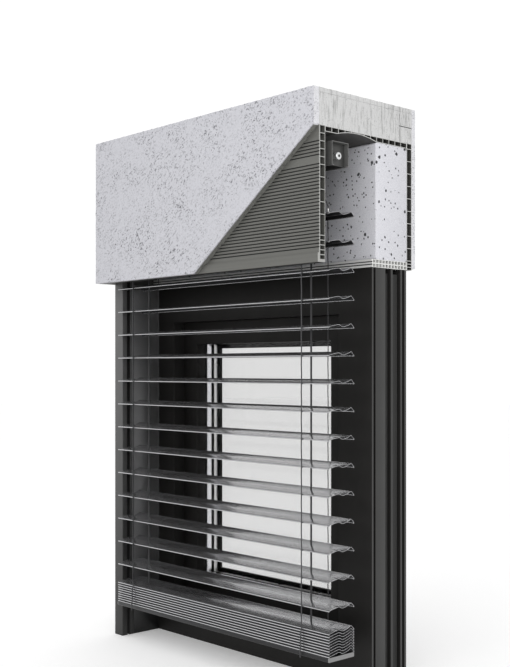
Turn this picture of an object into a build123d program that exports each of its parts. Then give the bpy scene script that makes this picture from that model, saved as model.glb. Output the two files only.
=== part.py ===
from build123d import *
from math import copysign
import os

os.makedirs("parts", exist_ok=True)

# Cut-away unit: an exterior venetian blind in its lintel box, with the side rail and the window behind it.
# X runs along the slats, Y from the street side to the room side, Z up. Origin: middle of the base.

# Overall sizes
LENGTH = 908.0
WINDOW_HEIGHT = 1052.0
BOX_HEIGHT = 415.0
LINTEL_HEIGHT = 89.5

# How far a cutting body reaches past what it cuts
PAST = 1.0

# Box layers, from the street to the room
RENDER_FRONT = 18.0
PANEL_FRONT = 20.5
CAVITY = 180.0
INSULATION = 120.6
INSULATION_GAP = 0.4
PANEL_REAR = 20.0
RENDER_REAR = 14.0
RENDER_REAR_LIFT = 5.0
CUT_START = 460.0
CUT_RISE = 327.0
LINTEL_SEAM_UP = 41.0

# Hollow panels
PANEL_WALL = 1.4
PANEL_WEB = 1.4
PANEL_FACE = 3.4
RIB_PITCH = 8.2
RIB_GROOVE = 3.4
RIB_DEPTH = 2.0
TOP_RIBS = 4
MAIN_RIBS = 24
PLAIN_TOP = 38.0
PLAIN_MIDDLE = 22.0
FRONT_CELLS = (18.7, 29.5, 50.0, 11.5)
FRONT_CELL_COUNTS = (5, 4, 1, 5)
NOSE_HEIGHT = 22.0
NOSE_DEPTH = 4.0
TOP_PANEL = 13.5
ARCH_START = 42.0
ARCH_LENGTH = 142.0
ARCH_RISE = 9.5
TOP_CELLS = 13
REAR_LOW_CELL = 8.0
REAR_LOW_CELLS = 3
REAR_CELLS = 9
REAR_TOP_CELL = 14.0
FLOOR_PANEL = 20.0
FLOOR_CELLS = 11
EDGE_GROOVE = 3.0
END_PLATE = 12.0
SEAM_FROM_REAR = 48.0
SEAM = 0.6
SEAM_NOTCH = 2.0
INSULATION_ROUND = 14.0

# Slats
SLAT_WIDTH = 90.0
SLAT_SHEET = 0.8
BEAD = 3.0
SLAT_FROM_PANEL = 12.0
SLAT_PITCH = 68.0
HANGING = 15
STACKED = 9
STACK_PITCH = 6.8
TOP_SLAT = 118.6
STACK_GAP = 55.3
SLAT_END_GAP = 4.0
FRONT_BULGE = (12.7, 3.33)
CREST = (37.0, 7.4)
TROUGH = (46.5, 54.0, 1.9)
REAR_BULGE = (71.0, 6.4)
FOLD = (79.0, 10.5)
CREST_BEND = 5.0
SMALL_SIDES = 8
SLOT_X = 9.0
SLOT_Y = 12.0
SLOT_SHIFT = 1.7

# Guide pins and the side rail
PIVOT_BACK = 41.3
PIVOT_UP = 3.0
PIN = 6.5
PIN_NECK = 3.0
PIN_REACH = 31.0
PIN_TIP = 0.8
RAIL_PLAY = 1.0
HUB = 6.2
HUB_LENGTH = 3.4
RUN = 0.05
SIDE_PLAY = 0.35
RAIL_WIDTH = 39.0
RAIL_FRONT_LIP = 16.2
RAIL_REAR_LIP = 13.85
RAIL_BACK = 7.0
RAIL_WALL = 2.2
RAIL_ABOVE = 148.0
LINER = 2.5
LINER_DEPTH = 26.0
LINER_BACK = 0.5
RAIL_ROUND = 1.0
LINING_WIDTH = 94.0
LINING_STEP = 12.0
LINING_RECESS = 1.0

# Ladders, tapes and the drive in the head rail
LADDERS = (364.0, -333.0)
TAPE_INWARD = 13.4
TAPE_BACK = 45.5
TAPE_WIDE = 6.0
TAPE_THICK = 0.8
FRONT_CORD = 3.0
REAR_CORD = 2.4
CORD_SIDES = 6
CORD_GAP = 0.6
LEAD_KNEE = 34.0
LEAD_RISE = 30.0
LEAD_SLANT = 0.42
LEAD_BEND = 12.0
LEAD_GATE = 6.0
CLIP_WALL = 2.0
CLIP_LENGTH = 9.0
CLIP_DOWN = 4.0
HEAD_WIDTH = 58.0
HEAD_HEIGHT = 58.0
HEAD_WALL = 1.6
HEAD_ROUND = 1.4
HEAD_LIP = 7.0
HEAD_DROP = 18.0
SHAFT_DOWN = 34.0
SHAFT_FORWARD = 4.25
SHAFT_START = 4.0
SHAFT_FLATS = 12.0
SHAFT_END = 18.0
SHAFT_END_LENGTH = 12.0
SHAFT_END_EDGE = 1.2
HUB_BEARING = 17.0
DRUM_TURN = 9.0
DRUM_FLANGE = 14.0
DRUM_WIDE = 8.0
FLANGE = 1.0
DRUM_HUB_PROUD = 2.0
DRUM_SIDES = 16
RING = 14.0
RING_WIDE = 7.0
RING_TRACK = 1.0
TURN_ROOM = 1.0
CHEEK = 3.6
BLOCK_HEIGHT = 42.0
BLOCK_FLOOR = 3.0
BLOCK_SLOT = 4.0
END_CLOSURE = 3.2
MOTOR_LENGTH = 250.0
MOTOR_WIDTH = 50.0
MOTOR_HEIGHT = 50.0
MOTOR_ROUND = 5.0
MOTOR_INSET = 2.0
SHAFT_ROOM = 1.0
MOTOR_X = 10.0
BRACKETS = (-280.0, 20.0, 310.0)
BRACKET_WIDE = 30.0
BRACKET_SHEET = 2.0
BRACKET_GRIP = 26.0
SCREW = 5.0
SCREW_HEAD = 9.0
SCREW_HEAD_HEIGHT = 3.0
SCREW_CLEAR = 1.5

# Bottom rail
BOTTOM_HEIGHT = 11.0
BOTTOM_WALL = 1.6
BOTTOM_ROUND = 2.5
CAP = 2.0
REST = 0.3

# Window
FRAME_DEPTH = 132.0
FRAME_FACE = 114.0
SASH_FACE = 63.0
SASH_SET_BACK = 38.0
SASH_EXTRA_TOP = 2.0
SASH_EXTRA_LOW = 5.0
GLASS_SET_BACK = 36.0
PANE = 6.0
SPACER = 18.0
SPACER_FACE = 12.0
REBATE = 12.0
GASKET = 5.0
BEAD_LIP = 12.0
BEAD_LIP_DEPTH = 10.0
FRAME_GROOVES = ((6.5, 7.0, 8.0), (51.5, 20.0, 12.0), (79.5, 29.0, 12.0), (116.5, 8.0, 8.0))

# Places worked out from the sizes above
RIGHT = LENGTH / 2
LEFT = -RIGHT
TOTAL_DEPTH = (RENDER_FRONT + PANEL_FRONT + CAVITY + INSULATION + INSULATION_GAP
               + PANEL_REAR + RENDER_REAR)
FRONT = -TOTAL_DEPTH / 2
PANEL_Y = FRONT + RENDER_FRONT
CAVITY_Y = PANEL_Y + PANEL_FRONT
INSULATION_Y = CAVITY_Y + CAVITY
REAR_PANEL_Y = INSULATION_Y + INSULATION + INSULATION_GAP
REAR_RENDER_Y = REAR_PANEL_Y + PANEL_REAR
REAR = REAR_RENDER_Y + RENDER_REAR
BOX_Z = WINDOW_HEIGHT
TOP = BOX_Z + BOX_HEIGHT
LINTEL_Z = TOP - LINTEL_HEIGHT
UNDER_TOP_PANEL = LINTEL_Z - TOP_PANEL
FLOOR_TOP = BOX_Z + FLOOR_PANEL

SLAT_Y = CAVITY_Y + SLAT_FROM_PANEL
SLAT_REAR = SLAT_Y + SLAT_WIDTH
FIRST_SLAT_Z = BOX_Z + TOP_SLAT
PIVOT_Y = SLAT_Y + PIVOT_BACK
LOWEST_HANGING = FIRST_SLAT_Z - (HANGING - 1) * SLAT_PITCH
STACK_TOP = LOWEST_HANGING - STACK_GAP
STACK_BOTTOM = STACK_TOP - (STACKED - 1) * STACK_PITCH
BOTTOM_TOP = STACK_BOTTOM - BEAD / 2 - REST
BOTTOM_Z = BOTTOM_TOP - BOTTOM_HEIGHT

GROOVE = PIN + 2 * SIDE_PLAY + 2 * LINER
RAIL_Y = PIVOT_Y - GROOVE / 2 - RAIL_FRONT_LIP
RAIL_REAR = PIVOT_Y + GROOVE / 2 + RAIL_REAR_LIP
RAIL_FACE = LEFT + RAIL_WIDTH
RAIL_TOP = WINDOW_HEIGHT + RAIL_ABOVE
PIN_HEAD = RAIL_FACE - RAIL_PLAY
SLAT_LEFT = RAIL_FACE + SLAT_END_GAP

HEAD_Z = UNDER_TOP_PANEL - HEAD_DROP - HEAD_HEIGHT
TAPE_Y = SLAT_Y + TAPE_BACK
SHAFT_Y = TAPE_Y - DRUM_TURN
HEAD_Y = SHAFT_Y + SHAFT_FORWARD - HEAD_WIDTH / 2
HEAD_TOP = HEAD_Z + HEAD_HEIGHT
SHAFT_Z = HEAD_TOP - SHAFT_DOWN
HEAD_LEFT = LEFT + END_PLATE

WINDOW_Y = RAIL_REAR + LINING_WIDTH
WINDOW_REAR = WINDOW_Y + FRAME_DEPTH
SASH_Y = WINDOW_Y + SASH_SET_BACK
GLASS_Y = SASH_Y + GLASS_SET_BACK
SASH_WIDE = LENGTH - 2 * FRAME_FACE
SASH_HIGH = WINDOW_HEIGHT - 2 * FRAME_FACE
LIGHT_WIDE = SASH_WIDE - 2 * SASH_FACE
LIGHT_HIGH = SASH_HIGH - 2 * SASH_FACE - SASH_EXTRA_TOP - SASH_EXTRA_LOW
LIGHT_Z = FRAME_FACE + SASH_FACE + SASH_EXTRA_LOW + LIGHT_HIGH / 2


def block(x0, x1, y0, y1, z0, z1):
    """A box between two corners."""
    return Pos((x0 + x1) / 2, (y0 + y1) / 2, (z0 + z1) / 2) * Box(x1 - x0, y1 - y0, z1 - z0)


def along_x(face, x0, x1):
    """Extrude a face drawn in (Y, Z) from x0 to x1."""
    return extrude(Plane.YZ.offset(x0) * face, x1 - x0)


def rod(diameter, x0, x1, y, z):
    """A round bar along X."""
    return Pos((x0 + x1) / 2, y, z) * Rot(0, 90, 0) * Cylinder(diameter / 2, x1 - x0)


def faceted(diameter, sides, bore=False):
    """Outline of a small round bar with flat sides: inside its circle, or for a bore outside it."""
    return RegularPolygon(diameter / 2, sides, major_radius=not bore)


def facet_rod(diameter, x0, x1, y, z, sides=SMALL_SIDES, bore=False):
    """A faceted bar along X."""
    return along_x(Pos(y, z) * faceted(diameter, sides, bore), x0, x1)


def upright(diameter, x, y, z0, z1, sides=SMALL_SIDES, bore=False):
    """A faceted bar along Z."""
    return extrude(Pos(x, y, z0) * faceted(diameter, sides, bore), z1 - z0)


def window_ring(wide, high, hole_wide, hole_high, y0, y1, z, hole_z):
    """A frame of four sides that stands in the XZ plane."""
    outer = block(-wide / 2, wide / 2, y0, y1, z - high / 2, z + high / 2)
    low = hole_z - hole_high / 2
    return outer - block(-hole_wide / 2, hole_wide / 2, y0 - PAST, y1 + PAST, low, low + hole_high)


def rect(u0, u1, v0, v1):
    """A rectangle in a section, from one corner to the other; (u, v) is (Y, Z) except in the side rail."""
    return Pos((u0 + u1) / 2, (v0 + v1) / 2) * Rectangle(u1 - u0, v1 - v0)


def save(name, *solids):
    """Write one node, as one solid or as a group of separate ones."""
    if len(solids) == 1:
        shape = solids[0]
    else:
        shape = Compound(children=list(solids))
    export_step(shape, f"parts/{name}.step")


# Lintel slab in two pieces, with a seam line in the end of the rear one
def lintel():
    seam_y = REAR_RENDER_Y - SEAM_FROM_REAR
    front = block(LEFT, RIGHT, PANEL_Y, seam_y - SEAM, LINTEL_Z, TOP)
    rear = block(LEFT, RIGHT, seam_y, REAR_RENDER_Y, LINTEL_Z, TOP)
    level = LINTEL_Z + LINTEL_SEAM_UP
    notch = block(RIGHT - SEAM_NOTCH, RIGHT + PAST, seam_y - PAST, REAR_RENDER_Y + PAST,
                  level, level + SEAM_NOTCH)
    return front, rear - notch


# Front render, cut back on a slant so that the panel under it shows
def front_render():
    cut_x = LEFT + CUT_START
    outline = Polyline((LEFT, BOX_Z), (cut_x, BOX_Z), (RIGHT, BOX_Z + CUT_RISE), (RIGHT, TOP),
                       (LEFT, TOP), close=True)
    face = make_face(Plane.XZ.offset(-FRONT) * outline)
    body = extrude(face, RENDER_FRONT, dir=(0, 1, 0))
    return body - block(LEFT, RIGHT, PANEL_Y - NOSE_DEPTH, PANEL_Y, BOX_Z, BOX_Z + NOSE_HEIGHT)


# Front panel: ribbed face, hollow inside, thicker along its lower edge as a stop for the render
def front_panel():
    body = rect(PANEL_Y, CAVITY_Y, BOX_Z, LINTEL_Z)
    body += rect(PANEL_Y - NOSE_DEPTH, PANEL_Y, BOX_Z, BOX_Z + NOSE_HEIGHT)
    top_zone = LINTEL_Z - PLAIN_TOP
    main_zone = top_zone - TOP_RIBS * RIB_PITCH - PLAIN_MIDDLE
    levels = [top_zone - i * RIB_PITCH for i in range(TOP_RIBS + 1)]
    levels += [main_zone - i * RIB_PITCH for i in range(MAIN_RIBS + 1)]
    half = RIB_GROOVE / 2
    for level in levels:
        groove = Polyline((PANEL_Y, level + half), (PANEL_Y + RIB_DEPTH, level), (PANEL_Y, level - half),
                          close=True)
        body -= make_face(groove)
    y0 = PANEL_Y + PANEL_FACE
    y1 = CAVITY_Y - PANEL_WALL
    upper = LINTEL_Z
    for pitch, count in zip(FRONT_CELLS, FRONT_CELL_COUNTS):
        for _ in range(count):
            lower = upper - pitch
            body -= rect(y0, y1, lower + PANEL_WEB / 2, upper - PANEL_WEB)
            upper = lower
    return along_x(body, LEFT, RIGHT)


def top_outline(extra=0.0):
    """Section of the top panel: flat top, underside with one wide arch."""
    start = (CAVITY_Y + ARCH_START, UNDER_TOP_PANEL)
    end = (start[0] + ARCH_LENGTH, UNDER_TOP_PANEL)
    crown = ((start[0] + end[0]) / 2, UNDER_TOP_PANEL + ARCH_RISE)
    edges = Polyline(end, (REAR_PANEL_Y + extra, UNDER_TOP_PANEL), (REAR_PANEL_Y + extra, LINTEL_Z),
                     (CAVITY_Y - extra, LINTEL_Z), (CAVITY_Y - extra, UNDER_TOP_PANEL), start)
    return make_face([edges, ThreePointArc(start, crown, end)])


def top_panel():
    body = top_outline()
    cells = offset(top_outline(), -PANEL_WALL)
    step = (REAR_PANEL_Y - CAVITY_Y) / TOP_CELLS
    for i in range(1, TOP_CELLS):
        web_y = CAVITY_Y + i * step
        cells -= rect(web_y - PANEL_WEB / 2, web_y + PANEL_WEB / 2, UNDER_TOP_PANEL - PAST, LINTEL_Z + PAST)
    panel = along_x(body - cells, LEFT, RIGHT)
    for x in BRACKETS:
        panel -= upright(SCREW + 2 * RUN, x, screw_y(), UNDER_TOP_PANEL - PAST, LINTEL_Z - PANEL_WALL,
                         bore=True)
    return panel


def rear_panel():
    body = rect(REAR_PANEL_Y, REAR_RENDER_Y, BOX_Z, LINTEL_Z)
    webs = [BOX_Z + REAR_LOW_CELL * i for i in range(REAR_LOW_CELLS + 1)]
    start = webs[-1]
    step = (LINTEL_Z - REAR_TOP_CELL - start) / REAR_CELLS
    webs += [start + step * i for i in range(1, REAR_CELLS + 1)]
    webs.append(LINTEL_Z)
    y0 = REAR_PANEL_Y + PANEL_WALL
    y1 = REAR_RENDER_Y - PANEL_WALL
    for lower, upper in zip(webs, webs[1:]):
        body -= rect(y0, y1, lower + PANEL_WEB / 2, upper - PANEL_WEB / 2)
    return along_x(body, LEFT, RIGHT)


# Panel under the insulation, with two rows of cells and grooves along its front edge
def rear_floor_panel():
    body = rect(WINDOW_Y, REAR_PANEL_Y, BOX_Z, FLOOR_TOP)
    half = EDGE_GROOVE / 2
    for i in range(1, 3):
        level = BOX_Z + i * FLOOR_PANEL / 3
        body -= rect(WINDOW_Y - PAST, WINDOW_Y + half, level - half, level + half)
    first = WINDOW_Y + EDGE_GROOVE
    step = (REAR_PANEL_Y - first) / FLOOR_CELLS
    row = FLOOR_PANEL / 2
    for i in range(FLOOR_CELLS):
        for j in range(2):
            body -= rect(first + i * step + PANEL_WALL, first + (i + 1) * step - PANEL_WALL,
                         BOX_Z + j * row + PANEL_WALL, BOX_Z + (j + 1) * row - PANEL_WALL)
    return along_x(body, LEFT, RIGHT)


def insulation_block():
    top = UNDER_TOP_PANEL - INSULATION_GAP
    body = rect(INSULATION_Y, REAR_PANEL_Y - INSULATION_GAP, FLOOR_TOP, top)
    section = fillet(body.vertices(), INSULATION_ROUND)
    return along_x(section, LEFT + END_PLATE, RIGHT)


# Plate that closes the left end of the box, with a pocket for the rail's upper end
def end_plate():
    body = rect(CAVITY_Y, REAR_PANEL_Y, BOX_Z, LINTEL_Z) - top_outline(PAST)
    body -= rect(WINDOW_Y, REAR_PANEL_Y + PAST, BOX_Z - PAST, FLOOR_TOP)
    body -= rect(RAIL_Y - REST, RAIL_REAR + REST, BOX_Z - PAST, RAIL_TOP + REST)
    return along_x(body, LEFT, LEFT + END_PLATE)


# Head rail: channel open below, with lips that carry the bearing blocks
def head_rail():
    body = rect(HEAD_Y, HEAD_Y + HEAD_WIDTH, HEAD_Z, HEAD_TOP)
    body = fillet(body.vertices(), HEAD_ROUND)
    rear = HEAD_Y + HEAD_WIDTH
    body -= rect(HEAD_Y + HEAD_WALL, rear - HEAD_WALL, HEAD_Z + HEAD_WALL, HEAD_TOP - HEAD_WALL)
    body -= rect(HEAD_Y + HEAD_LIP, rear - HEAD_LIP, HEAD_Z - PAST, HEAD_Z + HEAD_WALL + PAST)
    return along_x(body, HEAD_LEFT, RIGHT)


def screw_y():
    """Line of the bracket screws, in front of the head rail."""
    return HEAD_Y - SCREW_HEAD / 2 - BRACKET_SHEET - SCREW_CLEAR


def rail_brackets():
    plate_z = UNDER_TOP_PANEL - BRACKET_SHEET
    front = HEAD_Y - REST
    rear = HEAD_Y + HEAD_WIDTH + REST
    solids = []
    for x in BRACKETS:
        x0 = x - BRACKET_WIDE / 2
        x1 = x + BRACKET_WIDE / 2
        section = rect(screw_y() - SCREW_HEAD / 2, rear + BRACKET_SHEET, plate_z, UNDER_TOP_PANEL)
        section += rect(front - BRACKET_SHEET, front, HEAD_TOP - BRACKET_GRIP, plate_z)
        section += rect(rear, rear + BRACKET_SHEET, HEAD_TOP - BRACKET_GRIP, plate_z)
        section += rect(front, rear, HEAD_TOP, HEAD_TOP + BRACKET_SHEET)
        clamp = along_x(section, x0, x1)
        clamp -= upright(SCREW + 2 * RUN, x, screw_y(), plate_z - PAST, UNDER_TOP_PANEL + PAST, bore=True)
        solids.append(clamp)
    return solids


def bracket_screws():
    plate_z = UNDER_TOP_PANEL - BRACKET_SHEET
    solids = []
    for x in BRACKETS:
        shank = upright(SCREW, x, screw_y(), plate_z - SCREW_HEAD_HEIGHT / 2,
                        LINTEL_Z - PANEL_WALL - SCREW_CLEAR)
        head = upright(SCREW_HEAD, x, screw_y(), plate_z - SCREW_HEAD_HEIGHT, plate_z)
        head = chamfer(head.edges().group_by(Axis.Z)[0], SCREW_HEAD_HEIGHT / 3)
        solids.append(shank + head)
    return solids


def shaft_section(play=0.0):
    """Hexagon of the drive shaft, wider by the given play where it passes a bore."""
    return Pos(SHAFT_Y, SHAFT_Z) * RegularPolygon(SHAFT_FLATS / 2 + play, 6, major_radius=False)


def drive_shaft():
    bar = along_x(shaft_section(), HEAD_LEFT + SHAFT_START, RIGHT - SHAFT_END_LENGTH)
    end = rod(SHAFT_END, RIGHT - SHAFT_END_LENGTH, RIGHT, SHAFT_Y, SHAFT_Z)
    end = chamfer(end.edges().group_by(Axis.X)[-1], SHAFT_END_EDGE)
    return bar + end


def drive_motor():
    floor = HEAD_Z + HEAD_WALL
    front = HEAD_Y + HEAD_WALL + MOTOR_INSET
    section = rect(front, front + MOTOR_WIDTH, floor, floor + MOTOR_HEIGHT)
    section = fillet(section.vertices(), MOTOR_ROUND)
    x0 = MOTOR_X - MOTOR_LENGTH / 2
    x1 = x0 + MOTOR_LENGTH
    return along_x(section, x0, x1) - along_x(shaft_section(SHAFT_ROOM), x0 - PAST, x1 + PAST)


def tape_x(ladder_x):
    """X of the lift tape beside a ladder, on the side towards the middle of the blind."""
    return ladder_x - copysign(TAPE_INWARD, ladder_x)


def block_span(ladder_x):
    """The two ends of a bearing block, round the tape drum and the tilt ring."""
    drum = DRUM_WIDE / 2 + FLANGE
    ring = RING_WIDE / 2
    left = min(tape_x(ladder_x) - drum, ladder_x - ring)
    right = max(tape_x(ladder_x) + drum, ladder_x + ring)
    return left - TURN_ROOM - CHEEK, right + TURN_ROOM + CHEEK


# A block at each ladder, and the plate that closes the rail behind the shaft's round end
def bearing_blocks():
    floor = HEAD_Z + HEAD_WALL
    front = HEAD_Y + HEAD_WALL + REST
    rear = HEAD_Y + HEAD_WIDTH - HEAD_WALL - REST
    slot = RING + BLOCK_SLOT
    solids = []
    for ladder_x in LADDERS:
        x0, x1 = block_span(ladder_x)
        body = block(x0, x1, front, rear, floor, floor + BLOCK_HEIGHT)
        body -= block(x0 + CHEEK, x1 - CHEEK, front - PAST, rear + PAST, floor + BLOCK_FLOOR, HEAD_TOP)
        body -= block(x0 + CHEEK, x1 - CHEEK, SHAFT_Y - slot, SHAFT_Y + slot, floor - PAST, HEAD_TOP)
        body -= facet_rod(HUB_BEARING + 2 * RUN, x0 - PAST, x1 + PAST, SHAFT_Y, SHAFT_Z, DRUM_SIDES,
                          bore=True)
        solids.append(body)
    end_x = RIGHT - SHAFT_END_LENGTH - REST
    start_x = end_x - END_CLOSURE
    closure = block(start_x, end_x, front, rear, floor, HEAD_TOP - HEAD_WALL - REST)
    solids.append(closure - along_x(shaft_section(SHAFT_ROOM), start_x - PAST, end_x + PAST))
    return solids


def tape_drums():
    solids = []
    for ladder_x in LADDERS:
        x0, x1 = block_span(ladder_x)
        start = x0 - DRUM_HUB_PROUD
        end = x1 + DRUM_HUB_PROUD
        drum = facet_rod(HUB_BEARING, start, end, SHAFT_Y, SHAFT_Z, DRUM_SIDES)
        for side in (-1, 1):
            middle = tape_x(ladder_x) + side * (DRUM_WIDE + FLANGE) / 2
            drum += facet_rod(2 * DRUM_FLANGE, middle - FLANGE / 2, middle + FLANGE / 2, SHAFT_Y, SHAFT_Z,
                              DRUM_SIDES)
        drum -= along_x(shaft_section(RUN), start - PAST, end + PAST)
        solids.append(drum)
    return solids


def tilt_rings():
    solids = []
    for ladder_x in LADDERS:
        x0 = ladder_x - RING_WIDE / 2
        x1 = ladder_x + RING_WIDE / 2
        track = FRONT_CORD / 2
        ring = facet_rod(2 * RING, x0, x1, SHAFT_Y, SHAFT_Z, DRUM_SIDES)
        ring -= facet_rod(2 * (RING + PAST), ladder_x - track, ladder_x + track, SHAFT_Y, SHAFT_Z, DRUM_SIDES)
        ring += facet_rod(2 * (RING - RING_TRACK), x0, x1, SHAFT_Y, SHAFT_Z, DRUM_SIDES)
        ring -= facet_rod(HUB_BEARING + 2 * RUN, x0 - PAST, x1 + PAST, SHAFT_Y, SHAFT_Z, DRUM_SIDES,
                          bore=True)
        solids.append(ring)
    return solids


def cord_lines():
    """Y of the front and of the rear ladder cord."""
    return SLAT_Y - CORD_GAP - FRONT_CORD / 2, SLAT_REAR + CORD_GAP + REAR_CORD / 2


# Upper ends of the ladder cords: from slat edge height in to the tilt rings, with a crimp on each
def ladder_leads():
    front_y, rear_y = cord_lines()
    knee_z = FIRST_SLAT_Z + LEAD_KNEE
    clip_top = knee_z - CLIP_DOWN
    solids = []
    for ladder_x in LADDERS:
        for y, side, size in ((front_y, -1, FRONT_CORD), (rear_y, 1, REAR_CORD)):
            ring_y = SHAFT_Y + side * (RING + size / 2)
            slant_y = y + (ring_y - y) * LEAD_SLANT
            route = [(y, FIRST_SLAT_Z), (y, knee_z), (slant_y, knee_z + LEAD_RISE),
                     (ring_y, HEAD_Z - LEAD_GATE), (ring_y, SHAFT_Z)]
            path = FilletPolyline(*[(ladder_x, y, z) for y, z in route], radius=LEAD_BEND)
            lead = sweep(Pos(ladder_x, y, FIRST_SLAT_Z) * faceted(size, CORD_SIDES), path)
            crimp = upright(size + CLIP_WALL, ladder_x, y, clip_top - CLIP_LENGTH, clip_top, CORD_SIDES)
            solids.append(lead + crimp)
    return solids


def ladder_cords():
    front_y, rear_y = cord_lines()
    low = BOTTOM_Z + BOTTOM_HEIGHT / 2
    solids = []
    for ladder_x in LADDERS:
        solids.append(upright(FRONT_CORD, ladder_x, front_y, low, FIRST_SLAT_Z, CORD_SIDES))
        solids.append(upright(REAR_CORD, ladder_x, rear_y, low, FIRST_SLAT_Z, CORD_SIDES))
    return solids


def lift_tapes():
    solids = []
    for ladder_x in LADDERS:
        tape = Pos(tape_x(ladder_x), TAPE_Y, BOTTOM_TOP) * Rectangle(TAPE_WIDE, TAPE_THICK)
        solids.append(extrude(tape, SHAFT_Z - BOTTOM_TOP))
    return solids


def slat_section():
    """Profiled sheet with a rolled bead on each edge; Y from the front edge, Z from the bead's centre."""
    edge = BEAD / 2
    trough_front, trough_rear, trough_z = TROUGH
    line = FilletPolyline((edge, 0), FRONT_BULGE, CREST, (trough_front, trough_z), (trough_rear, trough_z),
                          REAR_BULGE, FOLD, (SLAT_WIDTH - edge, 0),
                          radius=[0, CREST_BEND, 0, 0, 0, 0])
    section = trace(line, SLAT_SHEET)
    bead = Rot(0, 0, 180 / SMALL_SIDES) * faceted(BEAD, SMALL_SIDES, bore=True)
    return section + Pos(edge, 0) * bead + Pos(SLAT_WIDTH - edge, 0) * bead


SECTION = slat_section()


def slat(z):
    """One slat with its tape slots and the hub at its left end."""
    body = along_x(Pos(SLAT_Y, z) * SECTION, SLAT_LEFT, RIGHT)
    for ladder_x in LADDERS:
        body -= Pos(tape_x(ladder_x), TAPE_Y + SLOT_SHIFT, z) * Box(SLOT_X, SLOT_Y, 2 * SLAT_PITCH)
    return body + facet_rod(HUB, SLAT_LEFT - HUB_LENGTH, SLAT_LEFT, PIVOT_Y, z + PIVOT_UP)


def hanging_slat(z):
    """A slat whose hub is bored for the neck of its guide pin."""
    start = SLAT_LEFT - HUB_LENGTH - PAST
    return slat(z) - facet_rod(PIN_NECK + 2 * RUN, start, SLAT_LEFT, PIVOT_Y, z + PIVOT_UP, bore=True)


def guide_pin(z, end=PIN_HEAD):
    """Body of a guide pin, which runs in the rail's groove, up to the given end."""
    pin = facet_rod(PIN, PIN_HEAD - PIN_REACH, end, PIVOT_Y, z + PIVOT_UP)
    return chamfer(pin.edges().group_by(Axis.X)[0], PIN_TIP)


def necked_pin(z):
    """A guide pin with the neck on which its slat turns."""
    return guide_pin(z) + facet_rod(PIN_NECK, PIN_HEAD, SLAT_LEFT - REST, PIVOT_Y, z + PIVOT_UP)


def bottom_outline():
    """Section of the bottom rail with its rounded corners."""
    face = rect(SLAT_Y, SLAT_REAR, BOTTOM_Z, BOTTOM_TOP)
    return fillet(face.vertices(), BOTTOM_ROUND)


# Bottom rail with three chambers
def bottom_rail():
    body = bottom_outline()
    third = (SLAT_WIDTH - 2 * BOTTOM_WALL) / 3
    for i in range(3):
        y0 = SLAT_Y + BOTTOM_WALL + i * third
        body -= rect(y0 + BOTTOM_WALL / 2, y0 + third - BOTTOM_WALL / 2,
                     BOTTOM_Z + BOTTOM_WALL, BOTTOM_TOP - BOTTOM_WALL)
    return along_x(body, SLAT_LEFT, RIGHT - CAP)


def bottom_rail_caps():
    right = along_x(bottom_outline(), RIGHT - CAP, RIGHT)
    left = along_x(bottom_outline(), SLAT_LEFT - CAP, SLAT_LEFT)
    z = BOTTOM_Z + BOTTOM_HEIGHT / 2
    left += facet_rod(PIN, PIN_HEAD - PIN_REACH, SLAT_LEFT - CAP, PIVOT_Y, z)
    return left, right


# Side rail with its groove, and the lining strips in the groove
def guide_rail():
    section = fillet(rect(LEFT, RAIL_FACE, RAIL_Y, RAIL_REAR).vertices(), RAIL_ROUND)
    groove_x = LEFT + RAIL_BACK
    front = PIVOT_Y - GROOVE / 2
    rear = PIVOT_Y + GROOVE / 2
    section -= rect(groove_x, RAIL_FACE + PAST, front, rear)
    for y0, y1 in ((RAIL_Y, front), (rear, RAIL_REAR)):
        section -= rect(groove_x + RAIL_WALL, RAIL_FACE - RAIL_WALL, y0 + RAIL_WALL, y1 - RAIL_WALL)
    return extrude(section, RAIL_TOP)


def guide_rail_liner():
    solids = []
    for side in (-1, 1):
        y = PIVOT_Y + side * (GROOVE / 2 - LINER / 2)
        solids.append(block(RAIL_FACE - LINER_DEPTH, RAIL_FACE - LINER_BACK, y - LINER / 2, y + LINER / 2,
                            0, RAIL_TOP))
    return solids


# Sheet-clad lining, with its rear part set back a little
def side_lining():
    body = block(LEFT, RAIL_FACE, RAIL_REAR, WINDOW_Y, 0, WINDOW_HEIGHT)
    step_x = RAIL_FACE - LINING_RECESS
    step_y = (RAIL_REAR + WINDOW_Y) / 2 + LINING_STEP
    return body - block(step_x, RAIL_FACE + PAST, step_y, WINDOW_Y + PAST, -PAST, WINDOW_HEIGHT + PAST)


# Window: outer frame with its accessory grooves, inner frame, double pane and bead
def window_frame():
    middle = WINDOW_HEIGHT / 2
    body = window_ring(LENGTH, WINDOW_HEIGHT, SASH_WIDE, SASH_HIGH, WINDOW_Y, WINDOW_REAR, middle, middle)
    for start, wide, deep in FRAME_GROOVES:
        y0 = WINDOW_Y + start
        body -= window_ring(LENGTH + 2 * PAST, WINDOW_HEIGHT + 2 * PAST, LENGTH - 2 * deep,
                            WINDOW_HEIGHT - 2 * deep, y0, y0 + wide, middle, middle)
    return body


def sash_frame():
    middle = WINDOW_HEIGHT / 2
    body = window_ring(SASH_WIDE, SASH_HIGH, LIGHT_WIDE, LIGHT_HIGH, SASH_Y, WINDOW_REAR, middle, LIGHT_Z)
    half_wide = LIGHT_WIDE / 2 + REBATE
    half_high = LIGHT_HIGH / 2 + REBATE
    low = LIGHT_Z - half_high
    return body - block(-half_wide, half_wide, GLASS_Y, WINDOW_REAR + PAST, low, LIGHT_Z + half_high)


def rebate_ring(face, y0, y1):
    """A ring that fills the glass rebate, with sides of the given width."""
    wide = LIGHT_WIDE + 2 * REBATE
    high = LIGHT_HIGH + 2 * REBATE
    return window_ring(wide, high, wide - 2 * face, high - 2 * face, y0, y1, LIGHT_Z, LIGHT_Z)


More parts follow.
